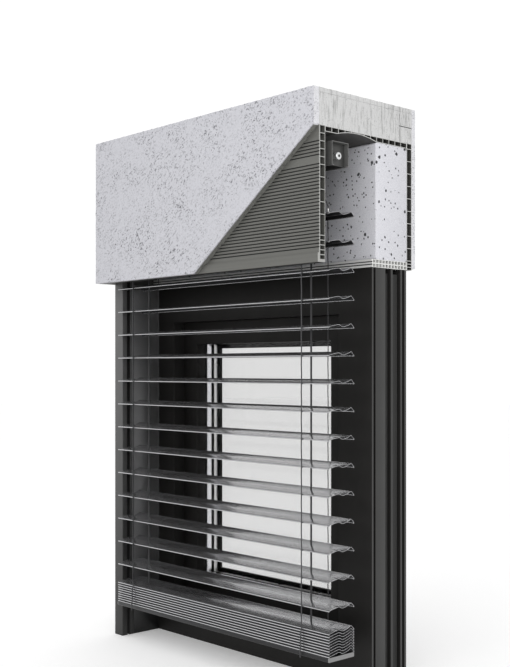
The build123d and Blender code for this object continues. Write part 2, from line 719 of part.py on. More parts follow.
def glass_panes():
    half_wide = LIGHT_WIDE / 2 + REBATE
    half_high = LIGHT_HIGH / 2 + REBATE
    solids = []
    for y0 in (GLASS_Y, GLASS_Y + PANE + SPACER):
        solids.append(block(-half_wide, half_wide, y0, y0 + PANE, LIGHT_Z - half_high, LIGHT_Z + half_high))
    return solids


def glazing_bead():
    y0 = GLASS_Y + 2 * PANE + SPACER + GASKET
    bead = rebate_ring(REBATE, y0, WINDOW_REAR)
    return bead + rebate_ring(REBATE + BEAD_LIP, WINDOW_REAR - BEAD_LIP_DEPTH, WINDOW_REAR)


def build():
    """Write every node."""
    save("lintel", *lintel())
    save("front_render", front_render())
    save("rear_render", block(LEFT, RIGHT, REAR_RENDER_Y, REAR, BOX_Z + RENDER_REAR_LIFT, TOP))
    save("front_panel", front_panel())
    save("top_panel", top_panel())
    save("rear_panel", rear_panel())
    save("rear_floor_panel", rear_floor_panel())
    save("insulation_block", insulation_block())
    save("end_plate", end_plate())
    save("head_rail", head_rail())
    save("rail_brackets", *rail_brackets())
    save("bracket_screws", *bracket_screws())
    save("drive_shaft", drive_shaft())
    save("drive_motor", drive_motor())
    save("bearing_blocks", *bearing_blocks())
    save("tape_drums", *tape_drums())
    save("tilt_rings", *tilt_rings())
    save("ladder_leads", *ladder_leads())
    save("ladder_cords", *ladder_cords())
    save("lift_tapes", *lift_tapes())
    save("guide_rail", guide_rail())
    save("guide_rail_liner", *guide_rail_liner())
    save("side_lining", side_lining())
    save("window_frame", window_frame())
    save("sash_frame", sash_frame())
    save("glass_panes", *glass_panes())
    spacer_y = GLASS_Y + PANE
    gasket_y = spacer_y + SPACER + PANE
    save("glazing_seals", rebate_ring(SPACER_FACE, spacer_y, spacer_y + SPACER),
         rebate_ring(REBATE, gasket_y, gasket_y + GASKET))
    save("glazing_bead", glazing_bead())
    save("bottom_rail", bottom_rail())
    save("bottom_rail_caps", *bottom_rail_caps())
    stack = []
    for i in range(STACKED):
        z = STACK_TOP - i * STACK_PITCH
        stack.append(slat(z) + guide_pin(z, SLAT_LEFT - HUB_LENGTH))
    save("stacked_slats", *stack)
    save("slat_01", hanging_slat(FIRST_SLAT_Z), necked_pin(FIRST_SLAT_Z))
    for i in range(1, HANGING):
        z = FIRST_SLAT_Z - i * SLAT_PITCH
        save(f"slat_{i + 1:02d}", hanging_slat(z))
        save(f"guide_pin_{i + 1:02d}", necked_pin(z))


build()
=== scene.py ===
import logging
import math
from collections.abc import Callable, Iterable, Mapping, Sequence
from dataclasses import dataclass
from enum import StrEnum
from functools import partial

import bmesh
import bpy
from mathutils import Matrix, Vector


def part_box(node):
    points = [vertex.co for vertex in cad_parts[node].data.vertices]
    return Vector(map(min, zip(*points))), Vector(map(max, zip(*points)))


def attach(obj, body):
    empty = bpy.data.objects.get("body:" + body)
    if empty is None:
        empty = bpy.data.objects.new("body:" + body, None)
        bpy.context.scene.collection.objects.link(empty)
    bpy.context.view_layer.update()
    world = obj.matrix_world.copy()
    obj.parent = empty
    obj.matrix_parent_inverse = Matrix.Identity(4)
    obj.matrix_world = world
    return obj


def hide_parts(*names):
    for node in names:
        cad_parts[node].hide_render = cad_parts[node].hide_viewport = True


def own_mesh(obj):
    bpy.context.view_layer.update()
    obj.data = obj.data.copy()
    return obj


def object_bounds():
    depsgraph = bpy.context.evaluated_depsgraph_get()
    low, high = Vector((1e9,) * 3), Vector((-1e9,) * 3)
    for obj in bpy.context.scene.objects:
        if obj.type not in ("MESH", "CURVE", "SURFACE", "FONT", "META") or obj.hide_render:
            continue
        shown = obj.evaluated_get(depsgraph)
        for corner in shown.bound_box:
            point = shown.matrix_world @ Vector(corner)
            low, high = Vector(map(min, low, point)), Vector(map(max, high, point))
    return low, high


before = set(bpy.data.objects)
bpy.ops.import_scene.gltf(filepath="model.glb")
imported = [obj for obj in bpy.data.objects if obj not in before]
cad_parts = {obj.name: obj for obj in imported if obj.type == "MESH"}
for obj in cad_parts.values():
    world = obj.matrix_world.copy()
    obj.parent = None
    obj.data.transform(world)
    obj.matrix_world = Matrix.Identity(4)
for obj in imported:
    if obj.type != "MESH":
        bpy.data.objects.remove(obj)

CAD_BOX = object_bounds()
END_X = CAD_BOX[1].x
LOG = logging.getLogger("blind")
MM = 0.001
TOUCH = 0.1 * MM  # Things this close to a place count as there.
FACING = 0.5  # A face whose normal goes this far along an axis faces that way.
ALONG = 0.9  # An edge or normal that goes this far along an axis lies along it.
ROUND = 60.0  # Shading of round and rough pieces stays smooth up to this many degrees.
WELD = 0.004 * MM  # Corners of a node's triangles that are this close are one.
FLAT = 0.6  # Faces that turn by less than this many degrees make one flat face.

Point = tuple[float, float, float]
Pair = tuple[float, float]
Piece = bpy.types.Object
Face = bmesh.types.BMFace
Edge = bmesh.types.BMEdge
Socket = bpy.types.NodeSocket
Source = Socket | bpy.types.Node
Add = Callable[..., bpy.types.Node]


class Body(StrEnum):
    """Bodies of the frame that pieces ride on, apart from the slats' and pins' own ones."""

    CARRIER = "carrier"
    PACK = "pack"
    DRIVE = "drive"


# Colour and nodes

def linear(code: str) -> tuple[float, float, float, float]:
    """Turn an sRGB hex value into a linear colour.

    Args:
        code: six hex digits after a hash.

    Returns:
        Red, green, blue and alpha.
    """
    parts = [int(code[i:i + 2], 16) / 255 for i in (1, 3, 5)]
    red, green, blue = (c / 12.92 if c <= 0.04045 else ((c + 0.055) / 1.055) ** 2.4 for c in parts)
    return red, green, blue, 1.0


def per_metre(size_mm: float) -> float:
    """Pattern scale for a feature of a real size in millimetres."""
    return 1000.0 / size_mm


def feed(tree: bpy.types.NodeTree, target: Socket, value: object) -> None:
    """Feed an input with a socket, with a node's first output or with a value of its own."""
    if isinstance(value, bpy.types.Node):
        value = value.outputs[0]
    if isinstance(value, Socket):
        tree.links.new(value, target)
    else:
        target.default_value = value


def add_node(tree: bpy.types.NodeTree, kind: str, inputs: Mapping[str | int, object] | None = None,
             **settings: object) -> bpy.types.Node:
    """Add one shader node with its settings and inputs.

    Args:
        tree: node tree that gets the node.
        kind: class of the node, without the words that all of them start with.
        inputs: for each input, by name or place, what feeds it.
        settings: attributes of the node.

    Returns:
        The new node.
    """
    node = tree.nodes.new(f"ShaderNode{kind}")
    for key, value in settings.items():
        setattr(node, key, value)
    for key, value in (inputs or {}).items():
        feed(tree, node.inputs[key], value)
    return node


# Finishes

@dataclass
class Coat:
    """What a finish lays on its shader.

    Each layer is a mask and the tone that it lets in over the tones before. The relief raises the bump, and
    the swing, if there is one, moves the roughness up and down.
    """

    base: str
    layers: list[tuple[Source, str]]
    relief: Source
    strength: float
    deep_mm: float
    swing: Source | None = None


@dataclass(frozen=True)
class Finish:
    """A surface with soft clouds of two tones and a fine grain; the other finishes build on it."""

    name: str
    colour: str
    shade: str
    roughness: float
    metallic: float = 0.0
    cloud_mm: float = 60.0
    grain_mm: float = 1.2
    grain_deep_mm: float = 0.03
    gloss_swing: float = 0.06
    mirror: float = 0.5

    def constants(self) -> dict[str, float]:
        """Values that stand on the shader's own sockets."""
        return {"Metallic": self.metallic, "Roughness": self.roughness, "Specular IOR Level": self.mirror}

    def material(self) -> bpy.types.Material:
        """Make the material, or give the one made before under this name."""
        known = bpy.data.materials.get(self.name)
        if known:
            return known
        made = bpy.data.materials.new(self.name)
        made.use_nodes = True
        tree = made.node_tree
        shader = tree.nodes["Principled BSDF"]
        add = partial(add_node, tree)
        coat = self.paint(add, add("TexCoord").outputs["Object"])
        tone = linear(coat.base)
        for mask, colour in coat.layers:
            tone = add("Mix", {0: mask, 6: tone, 7: linear(colour)}, data_type="RGBA").outputs[2]
        bump = add("Bump", {"Height": coat.relief, "Strength": coat.strength, "Distance": coat.deep_mm * MM})
        inputs = self.constants() | {"Base Color": tone, "Normal": bump}
        if coat.swing:
            inputs["Roughness"] = add("MapRange", {"Value": coat.swing,
                                                   "To Min": self.roughness - self.gloss_swing,
                                                   "To Max": self.roughness + self.gloss_swing})
        for name, value in inputs.items():
            feed(tree, shader.inputs[name], value)
        return made

    def paint(self, add: Add, place: Socket) -> Coat:
        """Lay clouds, which also swing the gloss, and a fine grain.

        Args:
            add: adds a node to the material's tree.
            place: Object coordinates.

        Returns:
            The coat for the shader.
        """
        clouds = add("TexNoise", {"Vector": place, "Scale": per_metre(self.cloud_mm), "Detail": 5.0,
                                  "Roughness": 0.62})
        grain = add("TexNoise", {"Vector": place, "Scale": per_metre(self.grain_mm), "Detail": 3.0})
        return Coat(self.colour, [(clouds, self.shade)], grain, 1.0, self.grain_deep_mm, clouds)


@dataclass(frozen=True)
class FootShadedCoat(Finish):
    """Powder coat that is painted darker near the ground: painted shade that thins out upwards."""

    dirt: str = "#2c2c2b"
    shade_height_mm: float = 700.0

    def paint(self, add: Add, place: Socket) -> Coat:
        """Lay the painted shade, which thins out upwards, over the coat of Finish; arguments as there."""
        coat = super().paint(add, place)
        painted_shade = add("MapRange", {"Value": add("SeparateXYZ", {0: place}).outputs["Z"],
                                "From Max": self.shade_height_mm * MM, "To Min": 1.0, "To Max": 0.0})
        coat.layers.append((painted_shade, self.dirt))
        return coat


@dataclass(frozen=True)
class ScrapedRender(Finish):
    """Scraped mineral render: matt grit with fine torn pits and short slanting scratches, in drifts; the pits
    and scratches are painted dark as painted shade.
    """

    pit_shade: str = "#66666a"
    pit_shade_mm: float = 4.4
    pit_shade_from: float = 0.585
    scratch_mm: float = 3.6
    scratch_long_mm: float = 15.0
    scratch_from: float = 0.60
    torn_edge: float = 0.10
    slant: float = 35.0
    drift_mm: float = 70.0
    drift_range: Pair = (0.36, 0.62)
    drift_least: float = 0.25
    grit_mm: float = 2.6
    grit_deep_mm: float = 1.2

    def paint(self, add: Add, place: Socket) -> Coat:
        """Lay grit, and pits and scratches painted dark as painted shade; arguments as in Finish."""
        drift = add("TexNoise", {"Vector": place, "Scale": per_metre(self.drift_mm), "Detail": 4.0,
                                 "Roughness": 0.6})
        thin, thick = self.drift_range
        amount = add("MapRange", {"Value": drift, "From Min": thin, "From Max": thick,
                                  "To Min": self.drift_least})
        grit = add("TexNoise", {"Vector": place, "Scale": per_metre(self.grit_mm), "Detail": 4.0,
                                "Roughness": 0.7})
        slanted = add("Mapping", {"Vector": place, "Rotation": (0.0, -math.radians(self.slant), 0.0),
                                  "Scale": (self.scratch_long_mm / self.scratch_mm, 1.0, 1.0)},
                      vector_type="TEXTURE")
        masks = []
        for vector, size, start in ((place, self.pit_shade_mm, self.pit_shade_from),
                                    (slanted, self.scratch_mm, self.scratch_from)):
            torn = add("TexNoise", {"Vector": vector, "Scale": per_metre(size), "Detail": 2.0})
            masks.append(add("MapRange", {"Value": torn, "From Min": start,
                                          "From Max": start + self.torn_edge}))
        torn = add("Math", {0: masks[0], 1: masks[1]}, operation="MAXIMUM")
        dark = add("Math", {0: torn, 1: amount}, operation="MULTIPLY")
        height = add("Math", {0: grit, 1: dark}, operation="SUBTRACT")
        return Coat(self.shade, [(grit, self.colour), (dark, self.pit_shade)], height, 0.8, self.grit_deep_mm)


@dataclass(frozen=True)
class CastConcrete(Finish):
    """Precast concrete: chalky pale grey, with the upright runs that water and form boards leave, and pores
    painted dark as painted shade.
    """

    run: str = "#8e8e8d"
    run_wide_mm: float = 3.0
    run_long_mm: float = 22.0
    run_range: Pair = (0.50, 0.72)
    pore_mm: float = 7.0
    pore_range: Pair = (0.10, 0.20)
    pore_shade: float = 0.75
    grit_mm: float = 2.4
    grit_deep_mm: float = 0.9

    def paint(self, add: Add, place: Socket) -> Coat:
        """Lay grit, upright runs and pores painted dark as painted shade; arguments as in Finish."""
        tall = add("Mapping", {"Vector": place, "Scale": (1.0, 1.0, self.run_wide_mm / self.run_long_mm)})
        runs = add("TexNoise", {"Vector": tall, "Scale": per_metre(self.run_wide_mm * 2), "Detail": 6.0,
                                "Roughness": 0.7})
        run = add("MapRange", {"Value": runs, "From Min": self.run_range[0], "From Max": self.run_range[1]})
        grit = add("TexNoise", {"Vector": place, "Scale": per_metre(self.grit_mm), "Detail": 5.0,
                                "Roughness": 0.75})
        pores = add("TexVoronoi", {"Vector": place, "Scale": per_metre(self.pore_mm)})
        pore = add("MapRange", {"Value": pores, "From Min": self.pore_range[0],
                                "From Max": self.pore_range[1], "To Min": self.pore_shade, "To Max": 0.0})
        height = add("Math", {0: grit, 1: pore}, operation="SUBTRACT")
        return Coat(self.shade, [(grit, self.colour), (run, self.run), (pore, self.run)], height, 0.7,
                    self.grit_deep_mm)


@dataclass(frozen=True)
class PanelPlastic(Finish):
    """Extruded rigid PVC: satin skin with faint die lines along X, paler where the saw cut it.

    Surfaces between the two places along Y that are given lie in its chambers, which are painted dark:
    painted shade.
    """

    cut: str = "#d4d4d2"
    cut_deep_mm: float = 0.6
    die_mm: float = 3.0
    die_deep_mm: float = 0.15
    die_squeeze: float = 0.01
    hollow: str = "#141413"
    hollow_mm: Pair = (0.0, 0.0)

    def paint(self, add: Add, place: Socket) -> Coat:
        """Lay die lines, painted shade in the chambers and the pale sawn end; arguments as in Finish."""
        drawn = add("Mapping", {"Vector": place, "Scale": (self.die_squeeze, 1.0, 1.0)})
        lines = add("TexNoise", {"Vector": drawn, "Scale": per_metre(self.die_mm), "Detail": 4.0,
                                 "Roughness": 0.6})
        along = add("SeparateXYZ", {0: place})
        near, far = self.hollow_mm
        inside = add("Math", {0: along.outputs["Y"], 1: (near + far) / 2 * MM, 2: (far - near) / 2 * MM},
                     operation="COMPARE")
        cut_deep = self.cut_deep_mm * MM
        sawn = add("MapRange", {"Value": along.outputs["X"], "From Min": END_X - cut_deep,
                                "From Max": END_X - cut_deep / 2})
        return Coat(self.colour, [(lines, self.shade), (inside, self.hollow), (sawn, self.cut)], lines, 0.5,
                    self.die_deep_mm)


@dataclass(frozen=True)
class BeadFoam(Finish):
    """Expanded polystyrene: a chalky white of fused beads, with scattered beads of dark graphite foam.

    Each kind of speck has the size of its cells, its reach in a cell and the share of cells without one.
    """

    speck: str = "#3a3a3d"
    specks: tuple[Point, Point] = ((12.5, 0.22, 0.42), (25.0, 0.20, 0.48))
    speck_core: float = 0.75
    bead_mm: float = 4.5
    bead_seam: float = 0.16
    bead_deep_mm: float = 0.5
    ragged_mm: float = 6.0
    ragged_deep_mm: float = 5.0

    def paint(self, add: Add, place: Socket) -> Coat:
        """Lay fused beads and dark specks of two sizes; arguments as in Finish."""
        beads = add("TexVoronoi", {"Vector": place, "Scale": per_metre(self.bead_mm)},
                    feature="DISTANCE_TO_EDGE")
        bead = add("MapRange", {"Value": beads, "From Max": self.bead_seam})
        warp = add("TexNoise", {"Vector": place, "Scale": per_metre(self.ragged_mm), "Detail": 2.0})
        swirl = add("VectorMath", {0: warp.outputs["Color"], "Scale": self.ragged_deep_mm * MM},
                    operation="SCALE")
        ragged = add("VectorMath", {0: place, 1: swirl}, operation="ADD")
        masks = []
        for cell_mm, reach, free in self.specks:
            cells = add("TexVoronoi", {"Vector": ragged, "Scale": per_metre(cell_mm)})
            spot = add("MapRange", {"Value": cells, "From Min": reach * self.speck_core, "From Max": reach,
                                    "To Min": 1.0, "To Max": 0.0})
            taken = add("Math", {0: cells.outputs["Color"], 1: free}, operation="GREATER_THAN")
            masks.append(add("Math", {0: spot, 1: taken}, operation="MULTIPLY"))
        dark = add("Math", {0: masks[0], 1: masks[1]}, operation="MAXIMUM")
        height = add("Math", {0: bead, 1: dark}, operation="SUBTRACT")
        return Coat(self.shade, [(bead, self.colour), (dark, self.speck)], height, 0.5, self.bead_deep_mm)


@dataclass(frozen=True)
class DrawnMetal(Finish):
    """Rolled or drawn metal: fine lines along X that stretch its highlights."""

    line_mm: float = 0.8
    line_squeeze: float = 0.012

    def paint(self, add: Add, place: Socket) -> Coat:
        """Lay lines along X, which also swing the gloss; arguments as in Finish."""
        drawn = add("Mapping", {"Vector": place, "Scale": (self.line_squeeze, 1.0, 1.0)})
        lines = add("TexNoise", {"Vector": drawn, "Scale": per_metre(self.line_mm), "Detail": 4.0})
        return Coat(self.colour, [(lines, self.shade)], lines, 0.4, self.grain_deep_mm, lines)


@dataclass(frozen=True)
class Braid(Finish):
    """Braided or woven polyester: two sets of strands that cross, matt with a soft sheen."""

    strand_mm: float = 1.6
    strand_deep_mm: float = 0.25
    sheen: float = 0.05

    def constants(self) -> dict[str, float]:
        """Values of Finish, and the sheen."""
        return super().constants() | {"Sheen Weight": self.sheen}

    def paint(self, add: Add, place: Socket) -> Coat:
        """Lay crossing strands; arguments as in Finish."""
        sets = []
        for lean in (math.pi / 4, -math.pi / 4):
            turned = add("Mapping", {"Vector": place, "Rotation": (lean, lean, 0.0)})
            wave = add("TexWave", {"Vector": turned, "Scale": per_metre(self.strand_mm) / math.tau},
                       bands_direction="Z")
            sets.append(wave.outputs["Fac"])
        crossed = add("Math", {0: sets[0], 1: sets[1]}, operation="MAXIMUM")
        return Coat(self.shade, [(crossed, self.colour)], crossed, 0.7, self.strand_deep_mm)


@dataclass(frozen=True)
class FloatGlass(Finish):
    """Float glass: clear, with the faint grey of its thickness in slow waves."""

    refraction: float = 1.18

    def constants(self) -> dict[str, float]:
        """Values of Finish, and those of a clear body."""
        return super().constants() | {"Transmission Weight": 1.0, "IOR": self.refraction}

    def paint(self, add: Add, place: Socket) -> Coat:
        """Lay slow waves of two tones; arguments as in Finish."""
        waves = add("TexNoise", {"Vector": place, "Scale": per_metre(self.cloud_mm)})
        return Coat(self.colour, [(waves, self.shade)], waves, 0.1, self.grain_deep_mm)


# Scraped mineral render is matt, and its torn pits look nearly black from a step away; that darkness is
# painted shade.
# Pits are drawn about twice as coarse as real ones, so that they show at this distance.
RENDER = ScrapedRender("scraped_mineral_render", "#d4d4d9", "#a2a2a8", 0.95)
# The slanted sawn cut of the render is painted darker: painted shade of a face that turns away from the
# light.
SHADED_CUT_RENDER = ScrapedRender("render_cut_painted_shade", "#8a8a85", "#5a5a56", 0.95, pit_shade="#2b2b29", drift_mm=20.0)
# The square end of the render is painted paler: painted light on the end faces that face the lamp.
LIT_END_RENDER = ScrapedRender("render_end_painted_light", "#f2f2f5", "#c4c4c8", 0.95, pit_shade="#8f8f92")
# Precast concrete is chalky, and water and form boards leave upright runs on it.
CONCRETE = CastConcrete("precast_concrete", "#e8e8e8", "#adadac", 0.92)
# Bitumen tape in the slab's seams and the floor panel's grooves is matt and dark and takes the light away.
SEAM_TAPE = Finish("bitumen_joint_tape", "#4a4a49", "#3b3b3a", 0.9)
# Recycled rigid PVC is a dull warm grey with a satin skin, and its chambers are painted near-black as painted
# shade.
RIBBED = PanelPlastic("ribbed_recycled_pvc", "#62625e", "#51514d", 0.52, cut="#a2a29f", hollow="#191918",
                      hollow_mm=(-168.4, -149.8))
# Grey rigid PVC lets little light into its chambers and shows bright webs at the saw cut.
HOLLOW = PanelPlastic("hollow_grey_pvc", "#4b4a48", "#3e3d3b", 0.5, cut="#c6c6c4")
# White rigid PVC stays bright all through, so its cut hardly differs from its skin.
FLOOR_PANEL = PanelPlastic("floor_white_pvc", "#d6d6d4", "#c2c2c0", 0.48, cut="#dededc")
# Expanded polystyrene is chalky, with graphite beads mixed in.
FOAM = BeadFoam("expanded_polystyrene", "#d8d8dd", "#cacad0", 0.9)
# Moulded ABS is a plain mid grey with soft, broad highlights.
END_ABS = Finish("moulded_abs_grey", "#5b5b59", "#4d4d4b", 0.55)
# Roll-formed steel with a dark polyester coat is dull, with thin lines from the rolls.
HEAD_STEEL = DrawnMetal("coated_roll_formed_steel", "#575756", "#4b4b4a", 0.45, 0.15)
# Its sawn edge shows the brighter zinc and steel under the coat.
SAWN_STEEL = DrawnMetal("sawn_steel_edge", "#7c7c7b", "#686867", 0.5, 0.5)
# Zinc plating has a cool, slightly blue shine.
ZINC = DrawnMetal("zinc_plated_steel", "#b9bcc0", "#9a9da2", 0.38, 0.9)
# Bright drawn steel is the whitest metal of the unit and shows as a light spot in the dark rail.
SHAFT = DrawnMetal("drawn_bright_steel", "#e4e5e6", "#cfd0d1", 0.30, 0.9)
# The socket in the shaft's end is painted dark: painted shade of its own shadow, with the grease that it
# holds.
SOCKET_SHADE = Finish("socket_painted_shade", "#4b4b4a", "#363635", 0.35)
# Black moulded ABS of the motor's case has small soft highlights.
MOTOR = Finish("moulded_abs_black", "#1d1e20", "#17181a", 0.45)
# Moulded acetal is a waxy dark grey.
ACETAL = Finish("moulded_acetal_grey", "#414140", "#393938", 0.5)
# Polyester braid and webbing are dark grey, and their strands glint a little before the dark window.
CORD = Braid("braided_polyester_grey", "#38383a", "#1c1c1d", 0.6)
TAPE = Braid("woven_polyester_tape", "#38383a", "#202021", 0.7, strand_mm=0.9)
# Pressed nickel-plated sleeves catch the light as small white spots.
NICKEL = DrawnMetal("nickel_plated_sleeve", "#f2f2f0", "#dcdcda", 0.25, 0.85)
# Coil-coated aluminium is smooth lacquer over metal and mirrors the dark window and the bright glass.
SLAT = DrawnMetal("coil_coated_aluminium", "#bcbcbe", "#b2b2b4", 0.22, 0.85, grain_deep_mm=0.001,
                  gloss_swing=0.01, line_mm=2.5)
# The slats' undersides are painted dull and dark, as painted shade, so they take up little of the bright
# floor.
UNDERSIDE_SHADE = DrawnMetal("slat_underside_painted_shade", "#2d2d2e", "#252526", 0.45, 0.5, grain_deep_mm=0.001)
# Dark anodised aluminium has a deep, silky grey.
BOTTOM = Finish("anodised_aluminium_dark", "#3b3b3c", "#323233", 0.36, 0.8)
# Moulded polyamide caps are a paler, matt grey that shows where the bottom rail ends.
CAP = Finish("moulded_polyamide_grey", "#8a8a8a", "#7c7c7c", 0.5)
# The rail's powder coat is satin; towards its foot it is painted darker, which is painted shade.
GUIDE = FootShadedCoat("powder_coated_aluminium", "#616161", "#565656", 0.5, 0.2, dirt="#212120",
                     shade_height_mm=860.0)
# Brush seal and rubber in the groove are black and give no highlight.
LINER = Finish("brush_seal_rubber", "#1b1b1b", "#151515", 0.8)
# The lining's powder coat is smoother and paler than the rail's, and is painted darker only near the ground:
# painted shade.
LINING = FootShadedCoat("powder_coated_sheet", "#868687", "#787879", 0.42, 0.5, dirt="#151514", shade_height_mm=260.0)
# Foiled PVC window profile is near-black anthracite with a very fine embossed grain.
FOIL = Finish("foiled_window_profile", "#1e1d1c", "#171615", 0.55, grain_mm=0.7, grain_deep_mm=0.05,
              mirror=0.22)
# The frame's outer side has no foil and is a lighter satin grey.
FRAME_SIDE = Finish("bare_window_profile", "#2f2f2e", "#272726", 0.5)
# The panes have an anti-mirror coat: clear, faintly grey and with hardly a mirror image.
GLASS = FloatGlass("coated_float_glass", "#ececec", "#eaeaea", 0.0, cloud_mm=900.0, grain_deep_mm=0.0)
# The anodised aluminium spacer looks nearly white behind the glass.
SPACER = Finish("anodised_spacer_bar", "#f6f6fa", "#f0f0f4", 0.25, 1.0)
# EPDM rubber is a dead black line between glass and profile.
RUBBER = Finish("epdm_rubber", "#161616", "#111111", 0.7, mirror=0.3)
# The bead carries an aluminium-look foil, which mirrors the bright room.
BEAD_FOIL = Finish("aluminium_look_foil", "#ececec", "#e4e4e4", 0.28, 0.95)
# Turned steel pins are grey and bright, with fine tool lines.
PIN_METAL = DrawnMetal("turned_steel_pin", "#a9abad", "#8f9193", 0.35, 1.0)


# Modelling steps

def deselect() -> None:
    """Leave nothing selected."""
    if bpy.context.mode != "OBJECT":
        bpy.ops.object.mode_set(mode="OBJECT")
    bpy.ops.object.select_all(action="DESELECT")


def pick(piece: Piece) -> None:
    """Make one piece the only one that is selected, and the active one."""
    deselect()
    piece.select_set(True)
    bpy.context.view_layer.objects.active = piece


def take(name: str) -> Piece:
    """Name the primitive that was just added and put its place, turn and size into its mesh."""
    piece = bpy.context.object
    piece.name = name
    pick(piece)
    bpy.ops.object.transform_apply(location=True, rotation=True, scale=True)
    return piece


def start_box(name: str, low: Sequence[float], high: Sequence[float]) -> Piece:
    """Add a box between two corners, as the start of a piece.

    Args:
        name: name of the piece.
        low: lowest corner in metres.
        high: highest corner in metres.

    Returns:
        The box, with its place in its mesh.
    """
    deselect()
    middle = [(a + b) / 2 for a, b in zip(low, high)]
    size = [b - a for a, b in zip(low, high)]
    bpy.ops.mesh.primitive_cube_add(size=1.0, location=middle, scale=size)
    return take(name)


def start_rod(name: str, radius: float, length: float, middle: Sequence[float], axis: str,
              sides: int = 16) -> Piece:
    """Add a rod along X or Z, as the start of a piece.

    Args:
        name: name of the piece.
        radius: radius in metres.
        length: length in metres.
        middle: its middle.
        axis: "X" or "Z".
        sides: sides of its section.

    Returns:
        The rod, with its place in its mesh.
    """
    deselect()
    turn = (0.0, math.pi / 2, 0.0) if axis == "X" else (0.0, 0.0, 0.0)
    bpy.ops.mesh.primitive_cylinder_add(vertices=sides, radius=radius, depth=length, location=middle,
                                        rotation=turn)
    return take(name)


def choose(piece: Piece, kind: str, wanted: Callable[[object], bool]) -> None:
    """Go into edit mode with only the wanted elements selected.

    Args:
        piece: the mesh.
        kind: "VERT", "EDGE" or "FACE".
        wanted: test on a bmesh element.
    """
    pick(piece)
    bpy.ops.object.mode_set(mode="EDIT")
    bpy.ops.mesh.select_mode(type=kind)
    bpy.ops.mesh.select_all(action="DESELECT")
    mesh = bmesh.from_edit_mesh(piece.data)
    for element in {"VERT": mesh.verts, "EDGE": mesh.edges, "FACE": mesh.faces}[kind]:
        if wanted(element):
            element.select_set(True)
    mesh.select_flush_mode()
    bmesh.update_edit_mesh(piece.data)


def leave() -> None:
    """Go back to object mode."""
    bpy.ops.object.mode_set(mode="OBJECT")


def drop(piece: Piece, unwanted: Callable[[bmesh.types.BMVert], bool]) -> None:
    """Delete the vertices of a piece that pass a test, with all that hangs on them."""
    choose(piece, "VERT", unwanted)
    bpy.ops.mesh.delete(type="VERT")
    leave()


def bevel_edges(piece: Piece, width_mm: float, steps: int, wanted: Callable[[Edge], bool]) -> None:
    """Round the edges that pass a test.

    Args:
        piece: the mesh.
        width_mm: width of the rounding.
        steps: steps of the rounding.
        wanted: test on an edge.
    """
    choose(piece, "EDGE", wanted)
    bpy.ops.mesh.bevel(offset=width_mm * MM, segments=steps)
    leave()


def runs_along(axis: int) -> Callable[[Edge], bool]:
    """Give the test that tells whether an edge lies along an axis, 0 for X to 2 for Z."""
    return lambda edge: abs((edge.verts[0].co - edge.verts[1].co).normalized()[axis]) > ALONG


def modify(piece: Piece, kind: str, **settings: object) -> None:
    """Add a modifier and apply it.

    Args:
        piece: the mesh.
        kind: type of modifier.
        settings: its attributes.
    """
    pick(piece)
    modifier = piece.modifiers.new(kind.lower(), kind)
    for key, value in settings.items():
        setattr(modifier, key, value)
    bpy.ops.object.modifier_apply(modifier=modifier.name)


def smooth(piece: Piece, degrees: float = 35.0) -> None:
    """Smooth a piece's shading, apart from edges sharper than the angle."""
    pick(piece)
    bpy.ops.object.shade_smooth_by_angle(angle=math.radians(degrees))


def fix_normals(piece: Piece, merge_mm: float = 0.01) -> None:
    """Merge doubles, then turn every face outwards."""
    choose(piece, "VERT", lambda _: True)
    bpy.ops.mesh.remove_doubles(threshold=merge_mm * MM)
    bpy.ops.mesh.normals_make_consistent(inside=False)
    leave()


def copy_piece(piece: Piece, name: str, rise: float) -> Piece:
    """Copy a piece with a mesh of its own.

    Args:
        piece: what is copied.
        name: name of the copy.
        rise: how far the copy's mesh moves up, in metres.

    Returns:
        The copy.
    """
    twin = piece.copy()
    twin.data = piece.data.copy()
    twin.name = name
    bpy.context.scene.collection.objects.link(twin)
    twin.data.transform(Matrix.Translation((0.0, 0.0, rise)))
    return twin


def join(name: str, pieces: Sequence[Piece]) -> Piece:
    """Join pieces into one under a name."""
    deselect()
    for piece in pieces:
        piece.select_set(True)
    bpy.context.view_layer.objects.active = pieces[0]
    bpy.ops.object.join()
    joined = bpy.context.object
    joined.name = name
    return joined


def carve(piece: Piece, tools: Iterable[Piece]) -> None:
    """Cut tools out of a piece and remove them."""
    for tool in tools:
        modify(piece, "BOOLEAN", operation="DIFFERENCE", object=tool, solver="EXACT")
        bpy.data.objects.remove(tool)


def node_copy(node: str, name: str) -> Piece:
    """Copy a node's mesh, merge its loose triangles and make its flat faces whole.

    Args:
        node: name of the node.
        name: name of the new piece.

    Returns:
        The copy, which rides on nothing yet.
    """
    piece = bpy.data.objects.new(name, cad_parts[node].data.copy())
    bpy.context.scene.collection.objects.link(piece)
    choose(piece, "VERT", lambda _: True)
    bpy.ops.mesh.remove_doubles(threshold=WELD)
    bpy.ops.mesh.customdata_custom_splitnormals_clear()
    bpy.ops.mesh.dissolve_limited(angle_limit=math.radians(FLAT))
    leave()
    return piece


def soften(piece: Piece, width_mm: float, segments: int = 2, angle: float = 35.0) -> None:
    """Round the edges of a piece a little and smooth its shading.

    Args:
        piece: the mesh.
        width_mm: width of the rounding.
        segments: steps of the rounding.
        angle: edges sharper than this many degrees are rounded.
    """
    modify(piece, "BEVEL", width=width_mm * MM, segments=segments, limit_method="ANGLE",
           angle_limit=math.radians(angle), use_clamp_overlap=True)
    smooth(piece)


